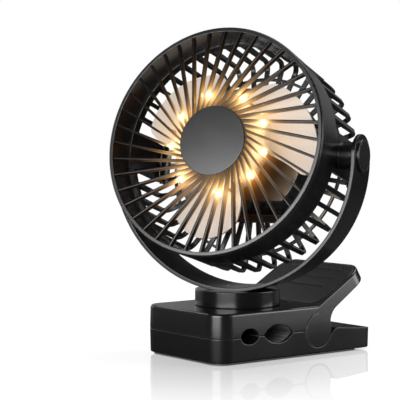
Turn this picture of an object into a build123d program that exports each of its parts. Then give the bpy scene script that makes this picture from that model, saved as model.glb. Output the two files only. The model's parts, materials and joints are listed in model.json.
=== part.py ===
# Portable clip fan: a caged fan head with a ring of small lamps, hung in a half-ring yoke that turns
# on a sprung clip base. Millimetres, +Z up, origin on the table under the swivel axis. The clip's
# mouth faces -Y, its lever and tail point to +Y. At rest the head looks aside and slightly up.

import os
from math import asin, cos, degrees, radians, sin, sqrt

from build123d import *

os.makedirs("parts", exist_ok=True)

# Clip base
base_width = 88.6
mouth_y = -52.6
mouth_corner_r = 13.0
tail_end_y = 93.1
tail_corner_r = 8.0
tail_front_y = 57.5
tail_front_z = 18.6
tail_end_z = 15.8
shell_bottom_z = 1.6
lower_top_z = 18.4
upper_bottom_z = 18.75
deck_z = 35.65
wall = 2.2
parting_z = 18.6
draft = 1.5
edge_r = 1.8
parting_edge_r = 0.3

# Clip hinge: round ears of the upper jaw turn in sockets of the lower jaw
hinge_y = 39.5
hinge_z = 18.3
ear_r = 11.8
socket_r = 12.7
socket_end_angle = -25.0
ear_inner_x = 36.8
knuckle_outer_x = 36.4
knuckle_thick = 2.0
knuckle_r = 6.5
pin_r = 2.0
pin_half_length = 42.0
running_gap = 0.06

# Torsion spring round the hinge pin
spring_r = 5.0
spring_wire_r = 0.8
spring_pitch = 2.2
spring_turns = 4
spring_leg = 12.0

# Lever
bend_y = 38.7
lever_slope = 30.7
lever_length = 53.0
lever_thick = 9.0
lever_corner_r = 14.0
lever_root_y = 56.8
lever_root_z = 34.0
ear_top_angle = 11.0

# Notches through the jaws, for thin and thick bars
notch_z = 18.9
oval_y = -24.4
oval_half_length = 8.2
oval_half_height = 5.7
eye_y = 1.7
eye_half_length = 13.8
eye_half_height = 7.0
arch_wall = 1.6
pad_thick = 1.2
pad_half_width = 41.0
tooth_r = 0.6
tooth_count = 7

# Base plate, feet and hook
plate_thick = 1.8
foot_inset = 3.0
foot_band = 7.0
foot_end_y = 80.5
hook_wire_r = 1.6
hook_z = 1.9
hook_pivot_y = 6.5
hook_bend_r = 7.0
hook_bend_y = -14.0
hook_tip_y = -8.0
hook_bar_half = 11.0
tray_half_width = 11.5
tray_front_y = -25.0
tray_back_y = 10.5
tray_ceiling_z = 3.9

# Swivel
turntable_r = 30.8
turntable_edge_r = 0.5
skirt_bottom_z = 36.0
skirt_gap = 0.4
swivel_base_r = 27.0
swivel_base_top_z = 37.4
turntable_bottom_z = 37.75
turntable_top_z = 47.2
spindle_r = 6.0
spindle_end_z = 33.1

# Yoke
swivel_angle = 25.2
tilt_angle = 15.0
tilt_z = 143.6
yoke_drop = 1.6
yoke_inner_r = 92.9
yoke_thick = 2.9
yoke_foot_half_width = 17.5
yoke_end_r = 15.2
cap_r = 11.5
cap_proud = 1.7
cap_bed = 0.8
cap_groove_r = 10.3
cap_groove_width = 0.5
cap_groove_depth = 0.3
yoke_edge_r = 0.5

# Head; depths run back from the front face, which is front_z ahead of the tilt axis
front_z = 42.8
ring_r = 82.5
ring_face_inner_r = 79.4
skirt_end_r = 81.7
skirt_depth = 28.5
lip_depth = 21.2
spigot_r = 79.3
spoke_count = 40
spoke_offset = 15.0
spoke_width = 1.7
spoke_front = 0.6
spoke_back = 5.0
spoke_phase = 7.7
hub_r = 25.0
hub_disc_thick = 1.5
lamp_circle_r = 36.4
lamp_angles = (107.5, 64.0, 23.5, -9.5, -38.5, -81.5, -134.5, -177.0, 148.0)
lamp_r = 2.2
lamp_body = 1.0
lamp_board_depth = 10.6
lamp_board_thick = 1.0
lamp_board_r = 39.2
lamp_board_inner_r = 21.0
lamp_post_r = 1.1

# Rear shell
drum_r = 81.2
drum_corner_r = 8.0
drum_depth = 77.4
rear_thick = 2.4
slot_count = 40
slot_width = 9.4
slot_start_depth = 29.3
slot_corner_r = 0.8
rear_bar_width = 3.2
rear_bar_length = 42.0
rear_hoop_r = 67.0
rear_hoop_width = 2.0
pivot_patch_half = 15.0
stub_r = 9.8
stub_end = 91.8

# Small screws that hold the casings
screw_r = 1.2
screw_head_r = 2.4
screw_head_height = 1.1
screw_length = 8.0
screw_bore = 0.2
screw_boss_r = 3.2

# Motor housing: a round cup with a flat below
housing_front_depth = 44.0
housing_front_r = 50.8
housing_front_flat = 33.5
housing_back_depth = 77.2
housing_back_r = 51.2
housing_back_flat = 38.0
housing_wall = 2.0
housing_edge = 0.8
flange_width = 5.0

# Motor and blades
shaft_r = 1.5
bearing_r = 4.0
tube_r = 4.6
stator_r = 13.2
magnet_r = 13.7
can_inner_r = 15.0
can_r = 16.2
blade_hub_r = 18.2
blade_tip_r = 66.3
blade_count = 3
blade_phase = 16.0
blade_depth = 28.0
blade_thick = 1.6

# Controls on the rear cover
button_r = 6.0
button_gap = 0.25
power_y = 8.5
light_y = -8.5
lens_y = 23.0
lens_length = 9.0
lens_width = 2.4
button_proud = 1.2
button_flange = 1.4
cover_thick = 2.2
switch_room = 4.6
switch_size = 6.0
switch_body = 2.0
switch_stem_r = 1.7
switch_stem = 0.5
control_board_width = 26.0
control_board_height = 56.0

base_aligned = (Align.CENTER, Align.CENTER, Align.MIN)
top_aligned = (Align.CENTER, Align.CENTER, Align.MAX)
half_width = base_width / 2
across = cos(radians(lever_slope))
rise = sin(radians(lever_slope))
lever_plane = Plane(origin=(0, bend_y, deck_z), x_dir=(1, 0, 0), z_dir=(0, -rise, across))

turn = radians(swivel_angle)
tilt_dir = Vector(cos(turn), sin(turn), 0)
level_facing = Vector(sin(turn), -cos(turn), 0)
facing = level_facing * cos(radians(tilt_angle)) + Vector(0, 0, sin(radians(tilt_angle)))
tilt_centre = Vector(0, 0, tilt_z)
head = Plane(origin=tilt_centre, x_dir=tilt_dir, z_dir=facing)
head_section = Plane(origin=tilt_centre, x_dir=tilt_dir, z_dir=-head.y_dir)
head_axis = Axis(tilt_centre, facing)
yoke_face = Plane(origin=tilt_centre, x_dir=tilt_dir, z_dir=level_facing)
yoke_side = Plane(origin=tilt_centre, x_dir=level_facing, z_dir=-tilt_dir)
pivot_planes = [
    Plane(origin=tilt_centre, x_dir=level_facing * side, z_dir=tilt_dir * side) for side in (1, -1)
]


def save(piece, name):
    piece.part.label = name
    export_step(piece.part, f"parts/{name}.step")


def at_depth(depth):
    return head.offset(front_z - depth)


def ring(plane, height, outer_r, inner_r=0.0, mode=Mode.ADD):
    with BuildSketch(plane) as face:
        Circle(outer_r)
        if inner_r > 0:
            Circle(inner_r, mode=Mode.SUBTRACT)
    extrude(face.sketch, amount=height, mode=mode)


def head_ring(front, back, outer_r, inner_r=0.0, mode=Mode.ADD):
    ring(at_depth(back), back - front, outer_r, inner_r, mode)


def head_turned(outline, mode=Mode.ADD):
    # outline is a closed run of (radius, depth) corners
    with BuildSketch(head_section) as face:
        with BuildLine():
            Polyline(*[(radius, front_z - depth) for radius, depth in outline], close=True)
        make_face()
    revolve(face.sketch, axis=head_axis, mode=mode)


def on_hinge(angle, radius):
    return (hinge_y + radius * cos(radians(angle)), hinge_z + radius * sin(radians(angle)))


def lever_point(along, below):
    return (bend_y + along * across + below * rise, deck_z + along * rise - below * across)


def base_plan(height, inset, end_y=tail_end_y):
    with BuildSketch(Plane.XY.offset(height)) as plan:
        with Locations((0, (mouth_y + end_y) / 2)):
            Rectangle(base_width - 2 * inset, end_y - mouth_y - 2 * inset)
        fillet(plan.vertices().group_by(Axis.Y)[0], mouth_corner_r - inset)
        fillet(plan.vertices().group_by(Axis.Y)[-1], tail_corner_r - inset)
    return plan.sketch


def oval(grow):
    with BuildSketch(Plane.YZ) as shape:
        with Locations((oval_y, notch_z)):
            Ellipse(oval_half_length + grow, oval_half_height + grow)
    return shape.sketch


def eye(grow):
    length = eye_half_length + grow
    height = eye_half_height + grow
    with BuildSketch(Plane.YZ) as shape:
        with BuildLine():
            ThreePointArc((eye_y - length, notch_z), (eye_y, notch_z + height), (eye_y + length, notch_z))
            ThreePointArc((eye_y - length, notch_z), (eye_y, notch_z - height), (eye_y + length, notch_z))
        make_face()
    return shape.sketch


def block(x, y, z, mode=Mode.ADD):
    # a box from its low and high limits along each axis
    with Locations(((x[0] + x[1]) / 2, (y[0] + y[1]) / 2, (z[0] + z[1]) / 2)):
        Box(x[1] - x[0], y[1] - y[0], z[1] - z[0], mode=mode)


def cross_bar(y, z, radius, low_x, high_x, mode=Mode.ADD):
    # a round bar along X
    with Locations(((low_x + high_x) / 2, y, z)):
        Cylinder(radius, high_x - low_x, rotation=(0, 90, 0), mode=mode)


def housing_outline(depth, radius, flat):
    # a disc with its lower part cut off level
    with BuildSketch(at_depth(depth)) as outline:
        Circle(radius)
        with Locations((0, -flat - radius)):
            Rectangle(4 * radius, 2 * radius, mode=Mode.SUBTRACT)
    return outline.sketch


# Lower jaw

plate_top_z = shell_bottom_z + plate_thick
cavity_x = half_width - wall
chamber_x = knuckle_outer_x - knuckle_thick
chamber_front_y = hinge_y - socket_r - wall
chamber_back_y = 54.2
chamber_floor_z = plate_top_z + 1.6
ledge_x = (-9, -2)
ledge_front_y = 47.5
ledge_z = (8.5, 12.2)
tail_cavity_y = 57.2
boss_height = 12.8
base_screw_places = [(34, -43.5), (-34, -43.5), (34, 82), (-34, 82)]
magnet_places = [(20, -42), (-20, -42), (24, 70), (-1, 70)]
base_magnet_r = 6.5
usb_y = 74.0
usb_width = 8.9
usb_height = 3.2
usb_length = 7.3
usb_sheet = 0.3
usb_tongue_width = 6.6
usb_tongue_thick = 0.7
usb_recess = 0.7
board_z = 4.6
board_thick = 1.4
board_x = (-40, -11)
board_y = (61, 87)
board_post_r = 2.0
board_post_places = [(-34, 64), (-14, 64), (-14, 84)]
cell_x = (13.5, 40.5)
cell_y = (-33, 21.5)
cell_thick = 5.0
cell_edge_r = 1.8
base_magnet_thick = 3.0
usb_z = board_z + board_thick + usb_height / 2

with BuildPart() as arches:
    extrude(oval(arch_wall), amount=half_width - wall / 2, both=True)
    extrude(eye(arch_wall + pad_thick), amount=half_width - wall / 2, both=True)

with BuildPart() as notch_cut:
    extrude(oval(0), amount=half_width + 1, both=True)
    extrude(eye(0), amount=half_width + 1, both=True)
    extrude(eye(pad_thick), amount=pad_half_width, both=True)

with BuildPart() as lower_arches:
    add(arches)
    split(bisect_by=Plane.XY.offset(lower_top_z), keep=Keep.BOTTOM)

# both jaws lean in from the parting line, so that they leave their moulds
with BuildPart() as jaw_form:
    extrude(base_plan(parting_z, 0, tail_end_y + 2 * lever_thick), amount=lever_length, taper=draft)
    extrude(base_plan(parting_z, 0), amount=-parting_z, taper=draft)

with BuildPart() as lower_jaw_shell:
    socket_left = (hinge_y - sqrt(socket_r**2 - (lower_top_z - hinge_z) ** 2), lower_top_z)
    socket_right = on_hinge(socket_end_angle, socket_r)
    with BuildSketch(Plane.YZ):
        with BuildLine():
            Polyline(
                socket_left,
                (mouth_y - wall, lower_top_z),
                (mouth_y - wall, shell_bottom_z),
                (tail_end_y + wall, shell_bottom_z),
                (tail_end_y, tail_end_z),
                (tail_front_y, tail_front_z),
            )
            ThreePointArc(socket_left, (hinge_y, hinge_z - socket_r), socket_right)
            TangentArc(
                socket_right,
                (tail_front_y, tail_front_z),
                tangent=(-sin(radians(socket_end_angle)), cos(radians(socket_end_angle))),
            )
        make_face()
    extrude(amount=half_width, both=True)
    add(jaw_form, mode=Mode.INTERSECT)
    fillet(edges().group_by(Axis.Z)[0], edge_r / 2)
    top_rim = faces().filter_by(Axis.Z).sort_by(Axis.Z)[-1].edges()
    fillet(top_rim.sort_by(Axis.Y)[:-1], parting_edge_r)
    # rooms inside: jaw, hinge chamber and tail
    extrude(base_plan(shell_bottom_z, wall), amount=plate_thick, mode=Mode.SUBTRACT)
    with BuildSketch(Plane.XY.offset(plate_top_z)):
        with Locations((0, (mouth_y + chamber_front_y) / 2)):
            Rectangle(2 * cavity_x, chamber_front_y - mouth_y - 2 * wall)
        fillet(vertices().group_by(Axis.Y)[0], mouth_corner_r - wall)
    extrude(amount=lower_top_z - wall - plate_top_z, mode=Mode.SUBTRACT)
    block(
        (-chamber_x, chamber_x),
        (chamber_front_y, chamber_back_y),
        (chamber_floor_z, deck_z),
        Mode.SUBTRACT,
    )
    with BuildSketch(Plane.XY.offset(plate_top_z)):
        with Locations((0, (tail_cavity_y + tail_end_y - wall) / 2)):
            Rectangle(2 * cavity_x, tail_end_y - wall - tail_cavity_y)
        fillet(vertices().group_by(Axis.Y)[-1], tail_corner_r - wall)
    extrude(amount=tail_end_z - wall - plate_top_z, mode=Mode.SUBTRACT)
    add(lower_arches)
    add(notch_cut, mode=Mode.SUBTRACT)
    # hinge knuckles and the ledge for the spring's lower leg
    for side in (1, -1):
        knuckle = sorted((side * chamber_x, side * knuckle_outer_x))
        cross_bar(hinge_y, hinge_z, knuckle_r, *knuckle)
        block(knuckle, (hinge_y - knuckle_r, hinge_y + knuckle_r), (chamber_floor_z, hinge_z))
    cross_bar(hinge_y, hinge_z, pin_r, -pin_half_length, pin_half_length, Mode.SUBTRACT)
    block(ledge_x, (ledge_front_y, chamber_back_y + 1), ledge_z)
    # screw bosses and the charging socket's slot
    for x, y in base_screw_places:
        with Locations((x, y, plate_top_z)):
            Cylinder(screw_boss_r, boss_height, align=base_aligned)
            Cylinder(screw_r, screw_length, align=base_aligned, mode=Mode.SUBTRACT)
    with BuildSketch(Plane.YZ.offset(-half_width - 1)):
        with Locations((usb_y, usb_z)):
            SlotOverall(usb_width + 0.4, usb_height + 0.4)
    extrude(amount=wall + 2, mode=Mode.SUBTRACT)
save(lower_jaw_shell, "lower_jaw_shell")

with BuildPart() as base_plate:
    extrude(base_plan(shell_bottom_z, wall + 0.15), amount=plate_thick)
    block(
        (-tray_half_width - 1.3, tray_half_width + 1.3),
        (tray_front_y - 1.3, tray_back_y + 1.3),
        (shell_bottom_z, tray_ceiling_z + 1.3),
    )
    block(
        (-tray_half_width, tray_half_width),
        (tray_front_y, tray_back_y),
        (0, tray_ceiling_z),
        Mode.SUBTRACT,
    )
    for side in (1, -1):
        ear = sorted((side * 8.6, side * tray_half_width))
        block(ear, (hook_pivot_y - 2.8, hook_pivot_y + 2.8), (0.3, tray_ceiling_z))
    cross_bar(hook_pivot_y, hook_z, hook_wire_r + running_gap, -hook_bar_half, hook_bar_half, Mode.SUBTRACT)
    for x, y in base_screw_places:
        with Locations((x, y, shell_bottom_z)):
            head_bore = screw_head_height + screw_bore
            Cylinder(screw_head_r + screw_bore, head_bore, align=base_aligned, mode=Mode.SUBTRACT)
            Cylinder(screw_r + screw_bore, 2 * plate_thick, align=base_aligned, mode=Mode.SUBTRACT)
    for x, y in board_post_places:
        with Locations((x, y, plate_top_z)):
            Cylinder(board_post_r, board_z - plate_top_z, align=base_aligned)
save(base_plate, "base_plate")

with BuildPart() as foot_ring:
    extrude(base_plan(0, foot_inset, foot_end_y + foot_inset), amount=shell_bottom_z)
    inner_inset = foot_inset + foot_band
    block(
        (-half_width + inner_inset, half_width - inner_inset),
        (mouth_y + inner_inset, foot_end_y - foot_band),
        (-1, shell_bottom_z + 1),
        Mode.SUBTRACT,
    )
    for x, y in base_screw_places:
        with Locations((x, y, 0)):
            Cylinder(screw_head_r + 2 * screw_bore, 4 * shell_bottom_z, mode=Mode.SUBTRACT)
save(foot_ring, "foot_ring")

with BuildPart() as base_screws:
    with Locations(*[(x, y, shell_bottom_z + screw_bore) for x, y in base_screw_places]):
        Cylinder(screw_head_r, screw_head_height, align=base_aligned)
        Cylinder(screw_r, screw_length, align=base_aligned)
save(base_screws, "base_screws")

with BuildPart() as battery_cells:
    for side in (1, -1):
        block(sorted((side * cell_x[0], side * cell_x[1])), cell_y, (plate_top_z, plate_top_z + cell_thick))
    fillet(edges().filter_by(Axis.Y), cell_edge_r)
save(battery_cells, "battery_cells")

with BuildPart() as base_magnets:
    with Locations(*[(x, y, plate_top_z) for x, y in magnet_places]):
        Cylinder(base_magnet_r, base_magnet_thick, align=base_aligned)
save(base_magnets, "base_magnets")

with BuildPart() as charge_board:
    block(board_x, board_y, (board_z, board_z + board_thick))
    with Locations((*base_screw_places[-1], board_z)):
        Cylinder(screw_boss_r + 0.4, 4 * board_thick, mode=Mode.SUBTRACT)
save(charge_board, "charge_board")

with BuildPart() as usb_c_socket:
    with BuildSketch(Plane.YZ.offset(-half_width + usb_recess)):
        with Locations((usb_y, usb_z)):
            SlotOverall(usb_width, usb_height)
    extrude(amount=usb_length)
    with BuildSketch(Plane.YZ.offset(-half_width + usb_recess)):
        with Locations((usb_y, usb_z)):
            SlotOverall(usb_width - 2 * usb_sheet, usb_height - 2 * usb_sheet)
            Rectangle(usb_tongue_width, usb_tongue_thick, mode=Mode.SUBTRACT)
    extrude(amount=usb_length - 1.3, mode=Mode.SUBTRACT)
save(usb_c_socket, "usb_c_socket")

with BuildPart() as hinge_pin:
    cross_bar(hinge_y, hinge_z, pin_r, -pin_half_length, pin_half_length)
save(hinge_pin, "hinge_pin")

# Toothed rubber liners of the large notch

liner_half_width = pad_half_width - 0.1

with BuildPart() as grip_liner:
    extrude(eye(pad_thick), amount=liner_half_width, both=True)
    extrude(eye(0), amount=half_width, both=True, mode=Mode.SUBTRACT)
    arc_r = (eye_half_length**2 + eye_half_height**2) / (2 * eye_half_height)
    arc_half = degrees(asin(eye_half_length / arc_r))
    for row in range(tooth_count):
        lean = radians(arc_half * (2 * (row + 1) / (tooth_count + 1) - 1))
        for side in (1, -1):
            tooth_z = notch_z + side * (eye_half_height - arc_r + arc_r * cos(lean))
            cross_bar(eye_y + arc_r * sin(lean), tooth_z, tooth_r, -liner_half_width, liner_half_width)

with BuildPart() as lower_grip_pad:
    add(grip_liner)
    split(bisect_by=Plane.XY.offset(lower_top_z), keep=Keep.BOTTOM)
save(lower_grip_pad, "lower_grip_pad")

with BuildPart() as upper_grip_pad:
    add(grip_liner)
    split(bisect_by=Plane.XY.offset(upper_bottom_z), keep=Keep.TOP)
save(upper_grip_pad, "upper_grip_pad")

# Wire hook folded into the underside

with BuildPart() as wire_hook:
    with BuildLine() as hook_path:
        Line((hook_bend_r, hook_pivot_y, hook_z), (hook_bend_r, hook_bend_y, hook_z))
        ThreePointArc(
            (hook_bend_r, hook_bend_y, hook_z),
            (0, hook_bend_y - hook_bend_r, hook_z),
            (-hook_bend_r, hook_bend_y, hook_z),
        )
        Line((-hook_bend_r, hook_bend_y, hook_z), (-hook_bend_r, hook_tip_y, hook_z))
    with BuildSketch(Plane(origin=hook_path.line @ 0, z_dir=hook_path.line % 0)):
        Circle(hook_wire_r)
    sweep()
    cross_bar(hook_pivot_y, hook_z, hook_wire_r, -hook_bar_half, hook_bar_half)
save(wire_hook, "wire_hook")

# Upper jaw with the lever

jaw_screw_places = [(34, -43.5), (-34, -43.5), (34, 21.4), (-34, 21.4)]
jaw_plate_thick = 2.0
jaw_plate_top_z = upper_bottom_z + jaw_plate_thick
plate_fit = 0.15
lever_hollow_start = 20.0
hinge_room_end = 22.0
ear_groove_depth = 1.2
lever_wall = 3.2
spring_rib_below = 9.4
jaw_plate_end_y = 24.6
panel_low = 2.4
panel_high = 50.4
panel_half_width = 40.4
panel_depth = 1.0
panel_corner_r = 10.5
panel_gap = 0.3
ridge_places = (23.7, 34.3, 44.8)
ridge_half_length = 27.0
ridge_width = 1.6
ridge_height = 0.9
lever_leg_angle = 90 + lever_slope
ledge_leg_angle = 270.0
coil_sweep = spring_turns * 360 + ledge_leg_angle - lever_leg_angle
coil_length = spring_pitch * coil_sweep / 360

with BuildPart() as upper_jaw_shell:
    ear_left = (hinge_y - sqrt(ear_r**2 - (upper_bottom_z - hinge_z) ** 2), upper_bottom_z)
    ear_top = on_hinge(ear_top_angle, ear_r)
    lever_root = (lever_root_y, lever_root_z)
    with BuildSketch(Plane.YZ):
        with BuildLine():
            Polyline(
                ear_left,
                (mouth_y - wall, upper_bottom_z),
                (mouth_y - wall, deck_z),
                (bend_y, deck_z),
                lever_point(lever_length, 0),
                lever_point(lever_length, lever_thick),
                lever_root,
            )
            TangentArc(
                lever_root,
                ear_top,
                tangent=Vector(*lever_root) - Vector(*lever_point(lever_length, lever_thick)),
            )
            ThreePointArc(ear_top, (hinge_y, hinge_z - ear_r), ear_left)
        make_face()
    extrude(amount=half_width, both=True)
    add(jaw_form, mode=Mode.INTERSECT)
    lever_tip = faces().sort_by(Axis((0, 0, 0), lever_plane.y_dir))[-1]
    fillet(lever_tip.edges().filter_by(Axis.X, reverse=True), lever_corner_r)
    top_edges = faces().filter_by(lever_plane).sort_by(Axis.Z)[-1].edges()
    top_edges += faces().filter_by(Axis.Z).sort_by(Axis.Z)[-1].edges()
    rims = [edge for edge in top_edges if abs((edge @ 0.5).Y - bend_y) > 0.1]
    fillet(rims, edge_r)
    bottom_rim = faces().filter_by(Axis.Z).sort_by(Axis.Z)[0].edges()
    fillet(bottom_rim.sort_by(Axis.Y)[:-1], parting_edge_r)
    # hollow of the jaw, of the hinge room and of the lever
    with BuildSketch(Plane.XY.offset(upper_bottom_z - 1)):
        with Locations((0, (mouth_y + wall + chamber_front_y) / 2)):
            Rectangle(2 * cavity_x, chamber_front_y - mouth_y - wall)
        fillet(vertices().group_by(Axis.Y)[0], mouth_corner_r - wall)
    extrude(amount=deck_z - wall - upper_bottom_z + 1, mode=Mode.SUBTRACT)
    with BuildSketch(Plane.YZ):
        with BuildLine():
            Polyline(
                (chamber_front_y - 0.5, 0),
                (chamber_front_y - 0.5, deck_z - wall),
                (bend_y, deck_z - wall),
                lever_point(hinge_room_end, wall),
                lever_point(hinge_room_end, deck_z),
                close=True,
            )
        make_face()
    extrude(amount=ear_inner_x, both=True, mode=Mode.SUBTRACT)
    with BuildSketch(lever_plane.offset(-wall - panel_depth)):
        with Locations((0, (lever_hollow_start + lever_length - wall) / 2)):
            hollow_length = lever_length - wall - lever_hollow_start
            RectangleRounded(2 * (half_width - lever_wall), hollow_length, lever_corner_r - wall)
    extrude(amount=-lever_thick, mode=Mode.SUBTRACT)
    # bed of the grip panel on the lever
    with BuildSketch(lever_plane):
        with Locations((0, (panel_low + panel_high) / 2)):
            RectangleRounded(2 * panel_half_width, panel_high - panel_low, panel_corner_r)
    extrude(amount=-panel_depth, mode=Mode.SUBTRACT)
    add(notch_cut, mode=Mode.SUBTRACT)
    # groove that carries the ear's round outline on over the jaw's side
    for side in (1, -1):
        with BuildSketch(Plane.YZ.offset(side * half_width)):
            with Locations((hinge_y, hinge_z)):
                Circle(socket_r)
                Circle(ear_r, mode=Mode.SUBTRACT)
            with Locations((hinge_y + 2 * ear_r, hinge_z), (hinge_y, hinge_z - 2 * ear_r)):
                Rectangle(4 * ear_r, 4 * ear_r, mode=Mode.SUBTRACT)
        extrude(amount=-ear_groove_depth * side, mode=Mode.SUBTRACT)
    cross_bar(hinge_y, hinge_z, pin_r + running_gap, -half_width + 1.5, half_width - 1.5, Mode.SUBTRACT)
    with Locations((0, 0, deck_z)):
        Cylinder(spindle_r + running_gap, 4 * wall, mode=Mode.SUBTRACT)
    for x, y in jaw_screw_places:
        with Locations((x, y, jaw_plate_top_z)):
            Cylinder(screw_boss_r, deck_z - wall - jaw_plate_top_z, align=base_aligned)
            Cylinder(screw_r, screw_length, align=base_aligned, mode=Mode.SUBTRACT)
    # rib that the spring's upper leg pushes against
    with BuildSketch(lever_plane.offset(-spring_rib_below)):
        with Locations((coil_length / 2, 2)):
            Rectangle(3, 5)
    extrude(amount=spring_rib_below - wall + 0.4)
save(upper_jaw_shell, "upper_jaw_shell")

with BuildPart() as lever_grip:
    with BuildSketch(lever_plane.offset(-panel_depth)):
        with Locations((0, (panel_low + panel_high) / 2)):
            grip_length = panel_high - panel_low - 2 * panel_gap
            RectangleRounded(2 * (panel_half_width - panel_gap), grip_length, panel_corner_r - panel_gap)
    extrude(amount=panel_depth - 0.1)
    for along in ridge_places:
        with BuildSketch(lever_plane.offset(-0.2)):
            with Locations((0, along)):
                SlotOverall(2 * ridge_half_length, ridge_width)
        extrude(amount=ridge_height)
save(lever_grip, "lever_grip")

with BuildPart() as upper_jaw_plate:
    with BuildSketch(Plane.XY.offset(upper_bottom_z)):
        plate_front_y = mouth_y + wall + plate_fit
        with Locations((0, (plate_front_y + jaw_plate_end_y) / 2)):
            Rectangle(2 * (cavity_x - plate_fit), jaw_plate_end_y - plate_front_y)
        fillet(vertices().group_by(Axis.Y)[0], mouth_corner_r - wall)
    extrude(amount=jaw_plate_top_z - upper_bottom_z)
    extrude(oval(arch_wall), amount=cavity_x - plate_fit, both=True)
    extrude(eye(arch_wall + pad_thick), amount=cavity_x - plate_fit, both=True)
    split(bisect_by=Plane.XY.offset(upper_bottom_z), keep=Keep.TOP)
    add(notch_cut, mode=Mode.SUBTRACT)
    for x, y in jaw_screw_places:
        with Locations((x, y, upper_bottom_z)):
            Cylinder(screw_r + screw_bore, 4 * jaw_plate_thick, mode=Mode.SUBTRACT)
            Cylinder(screw_head_r + screw_bore, 2 * (screw_head_height + screw_bore), mode=Mode.SUBTRACT)
save(upper_jaw_plate, "upper_jaw_plate")

with BuildPart() as jaw_screws:
    with Locations(*[(x, y, upper_bottom_z + screw_bore) for x, y in jaw_screw_places]):
        Cylinder(screw_head_r, screw_head_height, align=base_aligned)
        Cylinder(screw_r, screw_length, align=base_aligned)
save(jaw_screws, "jaw_screws")

# Torsion spring round the hinge pin: one wire, from the leg under the lever to the leg on the ledge

half_turns = round(coil_sweep / 180)


def coil_point(part):
    angle = radians(ledge_leg_angle - part * coil_sweep)
    return Vector(
        coil_length * (part - 0.5),
        hinge_y + spring_r * cos(angle),
        hinge_z + spring_r * sin(angle),
    )


def coil_heading(part):
    angle = radians(ledge_leg_angle - part * coil_sweep)
    speed = spring_r * radians(coil_sweep)
    return Vector(coil_length, speed * sin(angle), -speed * cos(angle)).normalized()


def biarc(start, start_dir, end, end_dir):
    # two arcs that meet smoothly between two points with given headings
    span = end - start
    bend = 1 - start_dir.dot(end_dir)
    pull = span.dot(start_dir + end_dir)
    reach = (sqrt(pull**2 + 2 * bend * span.dot(span)) - pull) / (2 * bend)
    near = start + start_dir * reach
    far = end - end_dir * reach
    middle = (near + far) / 2
    TangentArc(start, middle, tangent=start_dir)
    TangentArc(middle, end, tangent=far - near)


coil_steps = [step / (90 * half_turns) for step in range(90 * half_turns + 1)]
coil_points = [coil_point(part) for part in coil_steps]
turn_steps = round(90 * half_turns * 360 / coil_sweep)
coil_gap = min(
    (coil_points[first] - coil_points[second]).length
    for first in range(0, len(coil_points), 6)
    for second in range(first + turn_steps // 2, len(coil_points))
) - 2 * spring_wire_r
print("torsion spring: least gap between turns", round(coil_gap, 2), "mm")

with BuildPart() as torsion_spring:
    with BuildLine() as spring_path:
        Line(coil_point(0) - coil_heading(0) * spring_leg, coil_point(0))
        for step in range(half_turns):
            start = step / half_turns
            end = (step + 1) / half_turns
            biarc(coil_point(start), coil_heading(start), coil_point(end), coil_heading(end))
        Line(coil_point(1), coil_point(1) + coil_heading(1) * spring_leg)
    with BuildSketch(Plane(origin=spring_path.line @ 0, z_dir=spring_path.line % 0)):
        Circle(spring_wire_r)
    sweep()
save(torsion_spring, "torsion_spring")

# Swivel and yoke

yoke_outer_r = yoke_inner_r + yoke_thick
yoke_screw_r = 1.5
yoke_screw_end_z = 40.5
yoke_screw_seat_z = 47.8
yoke_head_r = 2.7
yoke_head_height = 1.4
yoke_seat_r = yoke_head_r + 0.2
yoke_screw_places = [tilt_dir * 8, tilt_dir * -8]
swivel_screw_r = 1.5
swivel_screw_head_r = 3.0
swivel_screw_head_height = 1.7
swivel_thread_length = 8.5
washer_r = 12.0
washer_thick = 1.1
pivot_thread_r = 2.0
pivot_thread_length = 8.0
pivot_shank_r = 3.0
pivot_head_r = 5.2
pivot_head_height = 1.2
pivot_seat = yoke_outer_r - cap_bed

with BuildPart() as swivel_base:
    ring(Plane.XY.offset(deck_z), swivel_base_top_z - deck_z, swivel_base_r, spindle_r + running_gap)
    fillet(edges().filter_by(GeomType.CIRCLE).group_by(Axis.Z)[-1].sort_by(SortBy.RADIUS)[-1], 0.5)
save(swivel_base, "swivel_base")

with BuildPart() as yoke_solid:
    with BuildSketch(yoke_face):
        with BuildLine():
            Polyline((yoke_outer_r, -yoke_drop), (yoke_outer_r, yoke_end_r), (yoke_inner_r, yoke_end_r))
            Line((yoke_inner_r, yoke_end_r), (yoke_inner_r, -yoke_drop))
            ThreePointArc(
                (yoke_inner_r, -yoke_drop), (0, -yoke_drop - yoke_inner_r), (-yoke_inner_r, -yoke_drop)
            )
            Line((-yoke_inner_r, -yoke_drop), (-yoke_inner_r, yoke_end_r))
            Polyline((-yoke_inner_r, yoke_end_r), (-yoke_outer_r, yoke_end_r), (-yoke_outer_r, -yoke_drop))
            ThreePointArc(
                (-yoke_outer_r, -yoke_drop), (0, -yoke_drop - yoke_outer_r), (yoke_outer_r, -yoke_drop)
            )
        make_face()
    extrude(amount=yoke_foot_half_width, both=True)
    with BuildSketch(yoke_side):
        foot_level = -yoke_drop - yoke_outer_r - 1
        Circle(yoke_end_r)
        with BuildLine():
            Polyline(
                (-yoke_end_r, 0),
                (yoke_end_r, 0),
                (yoke_foot_half_width, foot_level),
                (-yoke_foot_half_width, foot_level),
                close=True,
            )
        make_face()
    extrude(amount=yoke_outer_r + 1, both=True, mode=Mode.INTERSECT)
    fillet(edges(), yoke_edge_r)

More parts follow.
